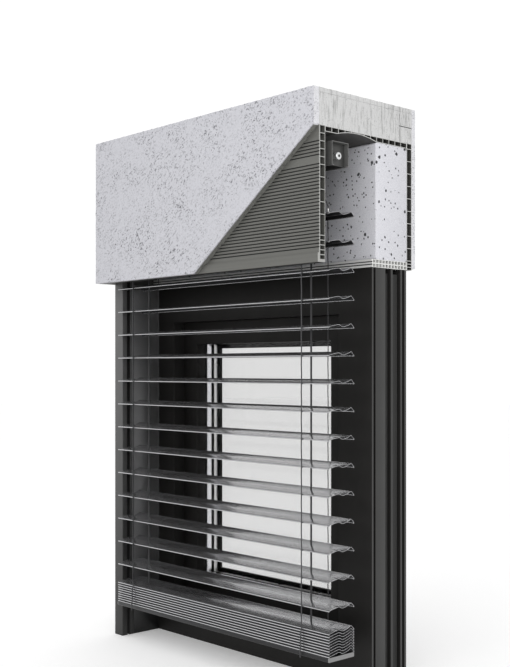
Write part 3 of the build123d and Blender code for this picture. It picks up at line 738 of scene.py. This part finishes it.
def roughen(piece: Piece, depth: int, layers: Iterable[Pair]) -> None:
    """Give a block even faces of one size and shift them in and out like a broken mineral surface.

    Args:
        piece: a closed mesh.
        depth: how often its longest side is halved down to one face.
        layers: for each layer of roughness its grain and its height, in millimetres.
    """
    modify(piece, "REMESH", mode="SHARP", octree_depth=depth, scale=0.99, use_remove_disconnected=False)
    for grain_mm, high_mm in layers:
        grit = bpy.data.textures.new(f"{piece.name}_{grain_mm:g}", "CLOUDS")
        grit.noise_scale = grain_mm * MM
        grit.noise_depth = 3
        modify(piece, "DISPLACE", texture=grit, texture_coords="LOCAL", strength=high_mm * MM,
               mid_level=0.55)
    smooth(piece, ROUND)


def draw_cord(name: str, route: Sequence[Point], radius: float, taper: float) -> Piece:
    """Draw a cord by extruding a small level disc from point to point.

    Args:
        name: name of the piece.
        route: its points in millimetres.
        radius: its radius in millimetres.
        taper: share of the radius that is left at the last point.

    Returns:
        The cord with rounded shading.
    """
    start, end = ([value * MM for value in point] for point in (route[0], route[-1]))
    deselect()
    bpy.ops.mesh.primitive_circle_add(vertices=8, radius=radius * MM, fill_type="NGON", location=start)
    cord = take(name)
    choose(cord, "FACE", lambda _: True)
    for here, there in zip(route, route[1:]):
        step = [(b - a) * MM for a, b in zip(here, there)]
        bpy.ops.mesh.extrude_region_move(TRANSFORM_OT_translate={"value": step})
    bpy.ops.transform.resize(value=(taper, taper, 1.0), center_override=end)
    leave()
    fix_normals(cord)
    smooth(cord, ROUND)
    return cord


def dress(piece: Piece, finish: Finish) -> None:
    """Give a piece or a node one finish all over."""
    material = finish.material()
    if not piece.material_slots:
        piece.data.materials.append(material)
    for slot in piece.material_slots:
        slot.material = material


def dress_nodes(finishes: Mapping[str, Finish]) -> None:
    """Give nodes that stay as they are their finishes."""
    for node, finish in finishes.items():
        dress(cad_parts[node], finish)
        LOG.info("%s is dressed in %s", node, finish.name)


def dress_faces(piece: Piece, finish: Finish, wanted: Callable[[Face], bool]) -> None:
    """Give some faces of a dressed piece a finish of their own.

    Args:
        piece: a piece that has its main finish.
        finish: finish of the chosen faces.
        wanted: test on a face.
    """
    piece.data.materials.append(finish.material())
    choose(piece, "FACE", wanted)
    piece.active_material_index = len(piece.material_slots) - 1
    bpy.ops.object.material_slot_assign()
    leave()


def seat(piece: Piece, body: str, finish: Finish, slot: str, *replaces: str) -> None:
    """Dress a finished piece, let it ride on its body and hide the nodes that it stands for.

    Args:
        piece: finished mesh in its place.
        body: body of the frame.
        finish: its finish.
        slot: material slot; not used.
        replaces: nodes that it stands for.
    """
    piece.data.materials.clear()
    dress(piece, finish)
    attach(piece, str(body))
    if replaces:
        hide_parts(*replaces)
    LOG.info("%s rides on %s, %d faces", piece.name, body, len(piece.data.polygons))


def seat_rounded(node: str, body: Body, finish: Finish, slot: str, width_mm: float, name: str = "") -> Piece:
    """Let a copy of a node with softened edges stand for it.

    Args:
        node: name of the node.
        body: its body.
        finish: its finish.
        slot: its material slot.
        width_mm: width of the rounding.
        name: name of the piece, if it isn't made from the node's.

    Returns:
        The seated piece.
    """
    piece = node_copy(node, name or f"{node}_rounded")
    soften(piece, width_mm)
    seat(piece, body, finish, slot, node)
    return piece


# Sub-assemblies

@dataclass
class LintelBox:
    """Rendered lintel box with its panels and the insulation block."""

    coat_depth: int = 8
    rear_depth: int = 7
    coat_grain: tuple[Pair, Pair] = ((9.0, 1.8), (3.5, 1.6))
    rear_grain: tuple[Pair, Pair] = ((12.0, 1.6), (5.0, 1.0))
    slab_grain: tuple[Pair, Pair] = ((14.0, 1.6), (4.5, 1.5))
    block_round: float = 8.0
    block_end_round: float = 17.0
    cut_start: float = 460.0
    cut_rise: float = 327.0
    cut_reach: float = 3.0
    cut_facing: float = 0.45
    skin: float = 5.0
    end_reach: float = 4.0
    seam_level: float = 41.0
    seam_from_rear: float = 48.0
    seam_wide: float = 2.2
    seam_deep: float = 3.0
    seam_reach: float = 0.4
    seam_below_top: float = 18.0
    line_below_top: float = 11.0
    groove_levels: Pair = (6.67, 13.33)
    groove_half: float = 1.7
    groove_depths: Pair = (0.2, 1.7)

    def build(self) -> None:
        """Build the mineral pieces and the block, and dress the panels."""
        self.build_front_render()
        self.build_rear_render()
        self.build_slab()
        self.build_block()
        dress_nodes({"front_panel": RIBBED, "top_panel": HOLLOW, "rear_panel": HOLLOW})
        self.build_floor_panel()
        seat_rounded("end_plate", Body.CARRIER, END_ABS, "end_plastic", 0.8)

    def build_front_render(self) -> None:
        """Front render: its slanted cut and all its edges rough."""
        coat = node_copy("front_render", "front_render_coat")
        roughen(coat, self.coat_depth, self.coat_grain)
        seat(coat, Body.CARRIER, RENDER, "render", "front_render")
        low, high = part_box("front_render")
        start = Vector((low.x + self.cut_start * MM, 0.0, low.z))
        way = (Vector((high.x, 0.0, low.z + self.cut_rise * MM)) - start).normalized()
        out = Vector((way.z, 0.0, -way.x))

        def on_cut(face: Face) -> bool:
            middle = face.calc_center_median()
            near = abs((middle - start).dot(out)) < self.cut_reach * MM
            return near and middle.y > low.y + self.skin * MM and face.normal.dot(out) > self.cut_facing

        # The slanted cut is painted darker: painted shade.
        dress_faces(coat, SHADED_CUT_RENDER, on_cut)
        # The square end is painted paler: painted light.
        dress_faces(coat, LIT_END_RENDER, self.on_end)

    def build_rear_render(self) -> None:
        """Rear render, thin and rough."""
        coat = node_copy("rear_render", "rear_render_coat")
        roughen(coat, self.rear_depth, self.rear_grain)
        seat(coat, Body.CARRIER, RENDER, "render", "rear_render")
        # The square end is painted paler: painted light.
        dress_faces(coat, LIT_END_RENDER, self.on_end)

    def on_end(self, face: Face) -> bool:
        """Tell whether a face of a coat lies on the square end of the unit."""
        return face.calc_center_median().x > END_X - self.end_reach * MM and face.normal.x > FACING

    def build_floor_panel(self) -> None:
        """Floor panel, whose two front grooves hold dark sealing tape."""
        low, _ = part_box("rear_floor_panel")
        panel = node_copy("rear_floor_panel", "floor_panel_taped")
        seat(panel, Body.CARRIER, FLOOR_PANEL, "floor_panel", "rear_floor_panel")
        shallow, deep = self.groove_depths

        def in_groove(face: Face) -> bool:
            middle = (face.calc_center_median() - low) / MM
            level = any(abs(middle.z - level) < self.groove_half for level in self.groove_levels)
            return level and shallow < middle.y < deep

        dress_faces(panel, SEAM_TAPE, in_groove)

    def build_slab(self) -> None:
        """Lintel slab with broken edges and seams that are open a little at its end."""
        low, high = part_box("lintel")
        slab = node_copy("lintel", "lintel_slab")
        roughen(slab, self.coat_depth, self.slab_grain)
        half = self.seam_wide / 2 * MM
        seam_y = high.y - self.seam_from_rear * MM
        seam_z = low.z + self.seam_level * MM
        seam_top = high.z - self.seam_below_top * MM
        line_z = high.z - self.line_below_top * MM
        deep_x = high.x - self.seam_deep * MM
        past_x, past_y = high.x + half, high.y + half
        cuts = (("upright_seam", (deep_x, seam_y - half, low.z - half), (past_x, seam_y + half, seam_top)),
                ("level_seam", (deep_x, seam_y, seam_z - half), (past_x, past_y, seam_z + half)),
                ("top_line", (high.x - half, low.y - half, line_z - half), (past_x, past_y, line_z)))
        carve(slab, [start_box(*cut) for cut in cuts])
        smooth(slab, ROUND)
        seat(slab, Body.CARRIER, CONCRETE, "concrete", "lintel")
        dress_faces(slab, SEAM_TAPE,
                    lambda face: abs(face.calc_center_median().x - deep_x) < self.seam_reach * MM)

    def build_block(self) -> None:
        """Insulation block with its long edges and its front upright end edge rounded."""
        low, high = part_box("insulation_block")
        block = start_box("foam_block", low, high)
        bevel_edges(block, self.block_round, 6, runs_along(0))

        def on_front_end(edge: Edge) -> bool:
            a, b = (vertex.co for vertex in edge.verts)
            return min(a.x, b.x) > high.x - TOUCH and max(a.y, b.y) < low.y + TOUCH

        bevel_edges(block, self.block_end_round, 8, on_front_end)
        soften(block, 1.0, 2, ROUND)
        seat(block, Body.CARRIER, FOAM, "foam", "insulation_block")


@dataclass
class HeadRail:
    """Head rail with its brackets and the drive inside it."""

    edge_deep: float = 0.7
    socket: float = 3.8
    socket_deep: float = 6.0
    socket_lip: float = 0.3
    socket_past: float = 0.5
    stop_low: Point = (441.6, -123.0, 1302.0)
    stop_high: Point = (449.0, -110.2, 1313.0)

    def build(self) -> None:
        """Round the sheet and moulded parts, open the shaft's socket and dress the rest."""
        rail = seat_rounded("head_rail", Body.CARRIER, HEAD_STEEL, "head_rail_steel", 0.3)
        dress_faces(rail, SAWN_STEEL, lambda face: face.calc_center_median().x > END_X - self.edge_deep * MM)
        seat_rounded("rail_brackets", Body.CARRIER, ZINC, "zinc_steel", 0.5)
        seat_rounded("drive_motor", Body.CARRIER, MOTOR, "motor_case", 0.8)
        seat_rounded("bearing_blocks", Body.CARRIER, ACETAL, "bearing_plastic", 0.5)
        self.build_shaft()
        corners = ([value * MM for value in corner] for corner in (self.stop_low, self.stop_high))
        stop = start_box("shaft_stop", *corners)
        soften(stop, 1.5, 3)
        seat(stop, Body.CARRIER, ACETAL, "bearing_plastic")
        dress_nodes({"bracket_screws": ZINC, "tape_drums": ACETAL, "tilt_rings": ACETAL})

    def build_shaft(self) -> None:
        """Drive shaft with a hexagonal socket in its end, which is painted dark inside: painted shade and
        grease.
        """
        low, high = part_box("drive_shaft")
        shaft = node_copy("drive_shaft", "drive_shaft_formed")
        middle = Vector((high.x, (low.y + high.y) / 2, (low.z + high.z) / 2))
        soften(shaft, 0.5)
        carve(shaft, [start_rod("socket_tool", self.socket * MM, 2 * self.socket_deep * MM, middle, "X", 6)])
        smooth(shaft)
        seat(shaft, Body.DRIVE, SHAFT, "shaft_steel", "drive_shaft")
        deep = self.socket_deep + self.socket_past

        def in_socket(face: Face) -> bool:
            inward = (middle - face.calc_center_median()) / MM
            return self.socket_lip < inward.x < deep and math.hypot(inward.y, inward.z) < self.socket

        dress_faces(shaft, SOCKET_SHADE, in_socket)


@dataclass(frozen=True)
class Fold:
    """Fold of a slat's sheet, in millimetres from the front bead: its place, and how it is rounded."""

    back: float
    up: float
    reach: float
    steps: int


@dataclass
class SlatShape:
    """One profiled slat with a rolled bead on each edge, its tape slots and its end hub.

    The folds are, from front to rear, a bulge, a crest, both ends of a trough, a rise and a sharp top.
    """

    width: float = 90.0
    sheet: float = 0.8
    bead: float = 3.0
    bead_steps: int = 8
    bead_turn: float = 290.0
    folds: tuple[Fold, ...] = (Fold(12.7, 3.33, 8.0, 4), Fold(37.0, 7.4, 4.5, 4), Fold(46.5, 1.9, 2.2, 3),
                               Fold(54.0, 1.9, 3.0, 3), Fold(71.0, 6.4, 5.0, 3), Fold(79.0, 10.5, 0.9, 3))
    slot_half: Point = (4.5, 6.0, 20.0)
    slot_round: float = 2.0
    slot_middle: float = 47.2
    tape_xs: Pair = (350.6, -319.6)
    hub: float = 6.2
    hub_long: float = 3.4
    hub_back: float = 41.3
    hub_up: float = 3.0
    hub_rim: float = 0.6
    hub_dish: float = 0.8

    def route(self) -> list[Pair]:
        """Middle line of the sheet, front bead to rear bead, as (Y, Z) in millimetres."""
        curl = (self.bead - self.sheet) / 2
        edge = self.bead / 2
        turns = [math.radians(self.bead_turn) * step / self.bead_steps for step in range(self.bead_steps + 1)]
        top = self.folds[-1]
        down = math.atan2(top.up, self.width - edge - top.back)
        line = [(edge - curl * math.sin(turn), curl * math.cos(turn)) for turn in reversed(turns)]
        line += [(fold.back, fold.up) for fold in self.folds]
        line += [(self.width - edge + curl * math.sin(down + turn), curl * math.cos(down + turn))
                 for turn in turns]
        return line

    def model(self, name: str, low: Vector, end_x: float) -> Piece:
        """Model the slat by drawing its edge along the route, then rounding its folds.

        Args:
            name: name of the piece.
            low: lowest corner of the slat's box, in metres.
            end_x: its right end.

        Returns:
            The slat in its place.
        """
        start_x = low.x + self.hub_long * MM
        base = Vector((0.0, low.y, low.z + self.bead / 2 * MM))
        line = [base + Vector((0.0, y * MM, z * MM)) for y, z in self.route()]
        deselect()
        bpy.ops.mesh.primitive_plane_add(size=1.0, location=((start_x + end_x) / 2, 0, 0))
        slat = take(name)
        drop(slat, lambda vertex: vertex.co.y > 0)
        for vertex, x in zip(slat.data.vertices, (start_x, end_x)):
            vertex.co = (x, line[0].y, line[0].z)
        choose(slat, "EDGE", lambda _: True)
        for here, there in zip(line, line[1:]):
            bpy.ops.mesh.extrude_region_move(TRANSFORM_OT_translate={"value": there - here})
        leave()
        for fold in self.folds:
            self.round_fold(slat, base, fold)
        modify(slat, "SOLIDIFY", thickness=self.sheet * MM, offset=0.0, use_even_offset=True)
        fix_normals(slat, 0.002)
        self.cut_slots(slat, base)
        slat = join(name, [slat, self.model_hub(low, base)])
        smooth(slat, 40.0)
        return slat

    @staticmethod
    def round_fold(slat: Piece, base: Vector, fold: Fold) -> None:
        """Round a fold of the sheet by its own amount."""
        spot = base + Vector((0.0, fold.back * MM, fold.up * MM))

        def on_fold(edge: Edge) -> bool:
            middle = (edge.verts[0].co + edge.verts[1].co) / 2
            return math.hypot(middle.y - spot.y, middle.z - spot.z) < TOUCH

        bevel_edges(slat, fold.reach, fold.steps, on_fold)

    def cut_slots(self, slat: Piece, base: Vector) -> None:
        """Cut the slots that the lift tapes pass through."""
        half = Vector([value * MM for value in self.slot_half])
        for x in self.tape_xs:
            middle = Vector((x * MM, base.y + self.slot_middle * MM, base.z))
            tool = start_box("slot_tool", middle - half, middle + half)
            bevel_edges(tool, self.slot_round, 3, runs_along(2))
            carve(slat, [tool])

    def model_hub(self, low: Vector, base: Vector) -> Piece:
        """Hub at the left end, with a dished face round the pin."""
        middle = (low.x + self.hub_long / 2 * MM, base.y + self.hub_back * MM, base.z + self.hub_up * MM)
        hub = start_rod("hub", self.hub / 2 * MM, self.hub_long * MM, middle, "X", 20)
        choose(hub, "FACE", lambda face: face.normal.x < -ALONG)
        bpy.ops.mesh.inset(thickness=self.hub_rim * MM)
        bpy.ops.mesh.extrude_region_move(TRANSFORM_OT_translate={"value": (self.hub_dish * MM, 0.0, 0.0)})
        leave()
        return hub


@dataclass
class Blind:
    """Hanging slats, the pack and the bottom rail."""

    hanging: int = 15
    stacked: int = 9
    stack_pitch: float = 6.8
    bead_zone: float = 3.2
    facing_down: float = 0.1
    pin_radius: float = 3.25
    pin_round: float = 0.6

    def build(self) -> None:
        """Model one slat and copy it to every place."""
        low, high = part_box("slat_02")
        foot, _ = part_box("stacked_slats")
        pattern = SlatShape().model("slat_pattern", low, high.x)
        for number in range(1, self.hanging + 1):
            node = f"slat_{number:02d}"
            slat = copy_piece(pattern, f"blade_{number:02d}_formed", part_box(node)[0].z - low.z)
            seat(slat, f"blade_{number:02d}", SLAT, "slat_coat", *([node] if number > 1 else []))
            self.shade_underside(slat, low.y, high.y)
        self.keep_first_pin()
        for step in range(self.stacked):
            rise = foot.z + step * self.stack_pitch * MM - low.z
            slat = copy_piece(pattern, f"packed_slat_{step + 1}", rise)
            seat(slat, Body.PACK, SLAT, "slat_coat", "stacked_slats")
            self.shade_underside(slat, low.y, high.y)
        bpy.data.objects.remove(pattern)
        self.build_pack_pins(foot, low)
        seat_rounded("bottom_rail", Body.PACK, BOTTOM, "bottom_rail_coat", 0.4)
        seat_rounded("bottom_rail_caps", Body.PACK, CAP, "cap_plastic", 0.4, "bottom_caps_rounded")
        dress_nodes({f"guide_pin_{number:02d}": PIN_METAL for number in range(2, self.hanging + 1)})

    def shade_underside(self, slat: Piece, front: float, rear: float) -> None:
        """Paint the underside of a slat between the beads on its two edges dull and dark: painted shade."""
        edge = self.bead_zone * MM

        def below(face: Face) -> bool:
            inside = front + edge < face.calc_center_median().y < rear - edge
            return inside and face.normal.z < -self.facing_down

        dress_faces(slat, UNDERSIDE_SHADE, below)

    @staticmethod
    def keep_first_pin() -> None:
        """The first slat's node holds its pin too, so a new pin stands beside the new slat."""
        pin = node_copy("guide_pin_02", "top_guide_pin")
        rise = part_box("slat_01")[0].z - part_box("slat_02")[0].z
        pin.data.transform(Matrix.Translation((0.0, 0.0, rise)))
        smooth(pin)
        seat(pin, "blade_01", PIN_METAL, "pin_metal", "slat_01")

    def build_pack_pins(self, foot: Vector, slat_low: Vector) -> None:
        """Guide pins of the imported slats, which end in the slats' hubs.

        Args:
            foot: lowest corner of the pack.
            slat_low: lowest corner of the second hanging slat, whose pin is the pattern.
        """
        pin_low, pin_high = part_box("guide_pin_02")
        level = (pin_low.z + pin_high.z) / 2 - slat_low.z
        pins = []
        for step in range(self.stacked):
            middle = ((foot.x + slat_low.x) / 2, (pin_low.y + pin_high.y) / 2,
                      foot.z + step * self.stack_pitch * MM + level)
            pins.append(start_rod("pin", self.pin_radius * MM, slat_low.x - foot.x, middle, "X"))
            soften(pins[-1], self.pin_round, 2, ROUND)
        seat(join("pack_guide_pins", pins), Body.PACK, PIN_METAL, "pin_metal", "stacked_slats")


@dataclass(frozen=True)
class CordLine:
    """One of the two lines of ladder cords, in front of the slats or behind them.

    A tilt draws the line in towards the pins, and its lead above and its foot below lean after it. Each keep
    is the share of the width that is left at full tilt. The bulge is how far the pack pushes the line out.
    """

    name: str
    y: float
    radius: float
    ring_y: float
    keep: float
    lead_lean: float
    lead_keep: float
    foot_lean: float
    foot_keep: float
    bulge: float


@dataclass
class Ladders:
    """Ladder cords in one length for each slat, their leads, sleeves and loops, and the lift tapes.

    Levels, from above: the tilt rings, the gate where the leads leave the rail, the bend and the knee of the
    leads, the first slat, the pack's top. Along the pack, the wave has a share of the bulge at each level.
    """

    lines: tuple[CordLine, CordLine] = (
        CordLine("front", -138.35, 1.5, -115.25, 0.4226, 10.0, 0.397, -45.0, 0.088, -4.2),
        CordLine("rear", -44.45, 1.2, -84.55, 0.52, -10.0, 0.582, 45.0, 0.12, 1.5),
    )
    xs: Pair = (364.0, -333.0)
    pins_y: float = -94.95
    hanging: int = 15
    pitch: float = 68.0
    ring_z: float = 1312.0
    gate: float = 1282.0
    bend: float = 1234.6
    bend_share: float = 0.42
    knee: float = 1204.6
    first: float = 1170.6
    below_first: float = 5.0
    below_last: float = 26.0
    pack_top: float = 163.3
    pack_wave: tuple[Pair, ...] = ((0.5, 152.0), (1.0, 141.0), (0.5, 130.0), (1.0, 119.0), (1.0, 108.0),
                                   (1.0, 93.5))
    lap: float = 1.0
    sway: float = 0.5
    sway_shares: Pair = (0.3, 0.7)
    taper: float = 0.97
    sleeve: Pair = (1191.6, 1200.6)
    sleeve_wall: float = 1.0
    loop: float = 1.85
    loop_cord: float = 0.4
    bead_in: float = 1.5

    def build(self) -> None:
        """Model the cords of both lines and dress the tapes."""
        for line in self.lines:
            self.build_lead(line)
            self.build_lengths(line)
            self.build_foot(line)
        self.build_loops()
        dress_nodes({"lift_tapes": TAPE})

    def draw(self, name: str, route: Sequence[Pair], radius: float, sway: float = 0.0) -> Piece:
        """Draw a cord at each ladder along a route of (Y, Z), its end a little thinner, and join them.

        Args:
            name: name of the joined piece.
            route: its points in millimetres.
            radius: radius of the cord.
            sway: how far its inner points stand off to one side and the other.

        Returns:
            The joined cords.
        """
        cords = []
        for x in self.xs:
            points = [(x, y, z) for y, z in route]
            for place in range(1, len(points) - 1):
                points[place] = (x + sway * (-1) ** place, *points[place][1:])
            cords.append(draw_cord(name, points, radius, self.taper))
        return join(name, cords)

    @staticmethod
    def follow_tilt(piece: Piece, lean: float, y: float, z: float, keep: float) -> None:
        """Give a piece of a cord a mesh of its own.

        Args:
            piece: finished piece.
            lean: angle of the shrinking direction from level, in degrees; not used.
            y: depth of the place that stays, in millimetres; not used.
            z: height of that place; not used.
            keep: share that is left at full tilt; not used.
        """
        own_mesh(piece)

    def build_lead(self, line: CordLine) -> None:
        """Lead from the tilt rings down to the first slat, with its pressed sleeve."""
        upper = self.draw(f"lead_{line.name}_upper",
                          [(line.ring_y, self.ring_z), (line.ring_y, self.gate - self.lap)], line.radius)
        seat(upper, Body.CARRIER, CORD, "ladder_cord", "ladder_leads")
        bend_y = line.y + (line.ring_y - line.y) * self.bend_share
        route = [(line.ring_y, self.gate), (bend_y, self.bend), (line.y, self.knee),
                 (line.y, self.first - self.below_first)]
        lead = self.draw(f"lead_{line.name}", route, line.radius)
        low, high = self.sleeve
        sleeves = [start_rod("sleeve", (line.radius + self.sleeve_wall) * MM, (high - low) * MM,
                             (x * MM, line.y * MM, (low + high) / 2 * MM), "Z") for x in self.xs]
        sleeve = join(f"lead_sleeves_{line.name}", sleeves)
        soften(sleeve, 0.4, 2, ROUND)
        for piece, finish in ((lead, CORD), (sleeve, NICKEL)):
            seat(piece, Body.CARRIER, finish, "ladder_cord", "ladder_leads")
            self.follow_tilt(piece, line.lead_lean, line.ring_y, self.gate, line.lead_keep)

    def build_lengths(self, line: CordLine) -> None:
        """One length of cord from each slat to the next, which hangs on the upper one's pin."""
        for number in range(1, self.hanging):
            top = self.first - (number - 1) * self.pitch
            bottom = top - self.pitch - (self.below_last if number == self.hanging - 1 else 0.0)
            inner = [top - self.pitch * share for share in self.sway_shares]
            route = [(line.y, level) for level in (top + self.lap, *inner, bottom)]
            cord = self.draw(f"ladder_{line.name}_{number:02d}", route, line.radius, self.sway)
            body = Body.CARRIER if number == 1 else f"pin_{number:02d}"
            seat(cord, body, CORD, "ladder_cord", "ladder_cords")
            self.follow_tilt(cord, 0.0, self.pins_y, 0.0, line.keep)

    def build_foot(self, line: CordLine) -> None:
        """Cord from the last hanging slat to the pack, and along the pack to its tail."""
        last = self.first - (self.hanging - 1) * self.pitch
        foot = self.draw(f"ladder_{line.name}_foot", [(line.y, last), (line.y, self.pack_top)], line.radius)
        seat(foot, Body.PACK, CORD, "ladder_cord", "ladder_cords")
        self.follow_tilt(foot, line.foot_lean, line.y, self.pack_top, line.foot_keep)
        route = [(line.y + share * line.bulge, level)
                 for share, level in ((0.0, self.pack_top + self.lap), *self.pack_wave)]
        along = self.draw(f"ladder_{line.name}_pack", route, line.radius, self.sway)
        seat(along, Body.PACK, CORD, "ladder_cord", "ladder_cords")

    def build_loops(self) -> None:
        """Thin loops that tie the beads of each hanging slat to the cords."""
        low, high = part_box("slat_02")
        bead_in = self.bead_in * MM
        level = low.z + bead_in
        patterns = []
        for x in self.xs:
            for y in (low.y + bead_in, high.y - bead_in):
                deselect()
                bpy.ops.mesh.primitive_circle_add(vertices=6, radius=self.loop_cord * MM, fill_type="NOTHING",
                                                  location=(x * MM, y + self.loop * MM, level))
                ring = take("loop")
                choose(ring, "VERT", lambda _: True)
                bpy.ops.mesh.spin(steps=14, angle=math.tau, center=(x * MM, y, level), axis=(1.0, 0.0, 0.0))
                leave()
                fix_normals(ring, 0.002)
                patterns.append(ring)
        pattern = join("loop_pattern", patterns)
        smooth(pattern, ROUND)
        for number in range(1, self.hanging + 1):
            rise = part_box(f"slat_{number:02d}")[0].z - low.z
            loops = copy_piece(pattern, f"bead_loops_{number:02d}", rise)
            seat(loops, f"blade_{number:02d}", CORD, "ladder_cord")
        bpy.data.objects.remove(pattern)


@dataclass
class SideRail:
    """Guide rail, its lining strips and the sheet lining up to the window."""

    rail_round: float = 0.5
    lining_round: float = 0.8

    def build(self) -> None:
        """Round the profiles and dress the strips."""
        seat_rounded("guide_rail", Body.CARRIER, GUIDE, "guide_rail_coat", self.rail_round)
        seat_rounded("side_lining", Body.CARRIER, LINING, "lining_coat", self.lining_round)
        dress_nodes({"guide_rail_liner": LINER})


@dataclass
class Window:
    """Fixed window: frame, inner frame, double pane, spacer, gasket and bead."""

    between_seals: float = 120.0
    lip_front: float = 140.6
    side_deep: float = 12.5

    def build(self) -> None:
        """Round the profiles, part the spacer from the gasket and dress the panes."""
        for node, width in (("window_frame", 1.2), ("sash_frame", 1.5)):
            profile = seat_rounded(node, Body.CARRIER, FOIL, "window_foil", width)
            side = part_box(node)[1].x - self.side_deep * MM
            dress_faces(profile, FRAME_SIDE,
                        lambda face, x=side: face.normal.x > FACING and face.calc_center_median().x > x)
        bead = seat_rounded("glazing_bead", Body.CARRIER, BEAD_FOIL, "bead_plastic", 1.0)
        lip = self.lip_front * MM
        # The lip and the downward faces of the bead are painted in the dark foil: painted shade.
        dress_faces(bead, FOIL, lambda face: face.calc_center_median().y > lip or face.normal.z < -FACING)
        middle = self.between_seals * MM
        for name, finish, unwanted in (("spacer_bar", SPACER, lambda vertex: vertex.co.y > middle),
                                       ("glass_gasket", RUBBER, lambda vertex: vertex.co.y < middle)):
            seal = node_copy("glazing_seals", name)
            drop(seal, unwanted)
            soften(seal, 0.4)
            seat(seal, Body.CARRIER, finish, "seal_rubber", "glazing_seals")
            # Downward faces get the black rubber finish; on the spacer this is painted shade.
            dress_faces(seal, RUBBER, lambda face: face.normal.z < -FACING)
        dress_nodes({"glass_panes": GLASS})


@dataclass(frozen=True)
class Lamp:
    """Square soft light with its place, its aim, its side in metres and its power in watts."""

    name: str
    place: Point
    aim: Point
    side: float
    power: float


@dataclass
class Studio:
    """Camera, floor, lights and the white surround.

    One lamp stands over the street side and one looks into the cut end. The floor's glow and the surround's
    white are what the eye, mirrors and glass see; as a light, the surround has its ambient strength.
    """

    camera_place: Point = (2.2406, -2.0057, 0.798)
    camera_turn: float = 47.6
    lens: float = 58.35
    sensor: float = 36.0
    shift_up: float = 0.0534
    view_far: float = 60.0
    floor_side: float = 40.0
    floor_z: float = -0.0005
    floor_tones: tuple[str, str] = ("#f4f4f4", "#f2f2f2")
    floor_patch_mm: float = 800.0
    floor_roughness: float = 0.9
    floor_glow: float = 0.24
    ambient: float = 0.83
    white: float = 1.03
    lamps: tuple[Lamp, Lamp] = (
        Lamp("street_light", (0.0, -3.2, 3.0), (0.0, 0.0, 0.9), 3.0, 26.0),
        Lamp("end_light", (2.9, -2.9, 1.5), (0.45, 0.0, 1.1), 2.4, 52.0),
    )

    def build(self) -> None:
        """Set the studio up round the object."""
        self.place_camera()
        self.lay_floor()
        for lamp in self.lamps:
            self.hang(lamp)
        self.surround()
        bpy.context.scene.view_settings.view_transform = "Standard"

    def place_camera(self) -> None:
        """A level camera at the photograph's place."""
        data = bpy.data.cameras.new("camera")
        data.lens = self.lens
        data.sensor_width = self.sensor
        data.shift_y = self.shift_up
        data.clip_end = self.view_far
        camera = bpy.data.objects.new("camera", data)
        camera.location = self.camera_place
        camera.rotation_euler = (math.pi / 2, 0.0, math.radians(self.camera_turn))
        bpy.context.scene.collection.objects.link(camera)
        bpy.context.scene.camera = camera

    def lay_floor(self) -> None:
        """Pale floor that is white to the eye and keeps the shadow."""
        deselect()
        bpy.ops.mesh.primitive_plane_add(size=self.floor_side, location=(0.0, 0.0, self.floor_z))
        floor = take("floor")
        material = bpy.data.materials.new("pale_studio_floor")
        material.use_nodes = True
        tree = material.node_tree
        add = partial(add_node, tree)
        place = add("TexCoord").outputs["Object"]
        patches = add("TexNoise", {"Vector": place, "Scale": per_metre(self.floor_patch_mm)})
        pale, paler = (linear(tone) for tone in self.floor_tones)
        tone = add("Mix", {0: patches, 6: pale, 7: paler}, data_type="RGBA")
        glow = add("Math", {0: self.seen_rays(tree), 1: self.floor_glow}, operation="MULTIPLY")
        inputs = {"Roughness": self.floor_roughness, "Base Color": tone.outputs[2],
                  "Emission Color": (1.0, 1.0, 1.0, 1.0), "Emission Strength": glow}
        for name, value in inputs.items():
            feed(tree, tree.nodes["Principled BSDF"].inputs[name], value)
        floor.data.materials.append(material)

    @staticmethod
    def seen_rays(tree: bpy.types.NodeTree) -> bpy.types.Node:
        """One for rays from the camera, from a mirror and through glass, otherwise zero."""
        path = add_node(tree, "LightPath").outputs
        direct = add_node(tree, "Math", {0: path["Is Camera Ray"], 1: path["Is Glossy Ray"]},
                          operation="MAXIMUM")
        return add_node(tree, "Math", {0: direct, 1: path["Is Transmission Ray"]}, operation="MAXIMUM")

    @staticmethod
    def hang(lamp: Lamp) -> None:
        """Hang a lamp and aim it."""
        data = bpy.data.lights.new(lamp.name, "AREA")
        data.size = lamp.side
        data.energy = lamp.power
        light = bpy.data.objects.new(lamp.name, data)
        light.location = lamp.place
        light.rotation_euler = (Vector(lamp.aim) - Vector(lamp.place)).to_track_quat("-Z", "Y").to_euler()
        bpy.context.scene.collection.objects.link(light)

    def surround(self) -> None:
        """White to the eye and in mirrors, softer as a light."""
        world = bpy.data.worlds.new("white_surround")
        bpy.context.scene.world = world
        world.use_nodes = True
        tree = world.node_tree
        background = tree.nodes["Background"].inputs
        level = add_node(tree, "MapRange", {"Value": self.seen_rays(tree), "To Min": self.ambient,
                                            "To Max": self.white})
        feed(tree, background["Color"], (1.0, 1.0, 1.0, 1.0))
        feed(tree, background["Strength"], level)


def main() -> None:
    """Build every sub-assembly in order and note the sizes."""
    logging.basicConfig(level=logging.INFO, format="%(name)s: %(message)s")
    for assembly in (Studio(), LintelBox(), HeadRail(), Blind(), Ladders(), SideRail(), Window()):
        LOG.info("building %s", type(assembly).__name__)
        assembly.build()
    deselect()


if __name__ == "__main__":
    main()
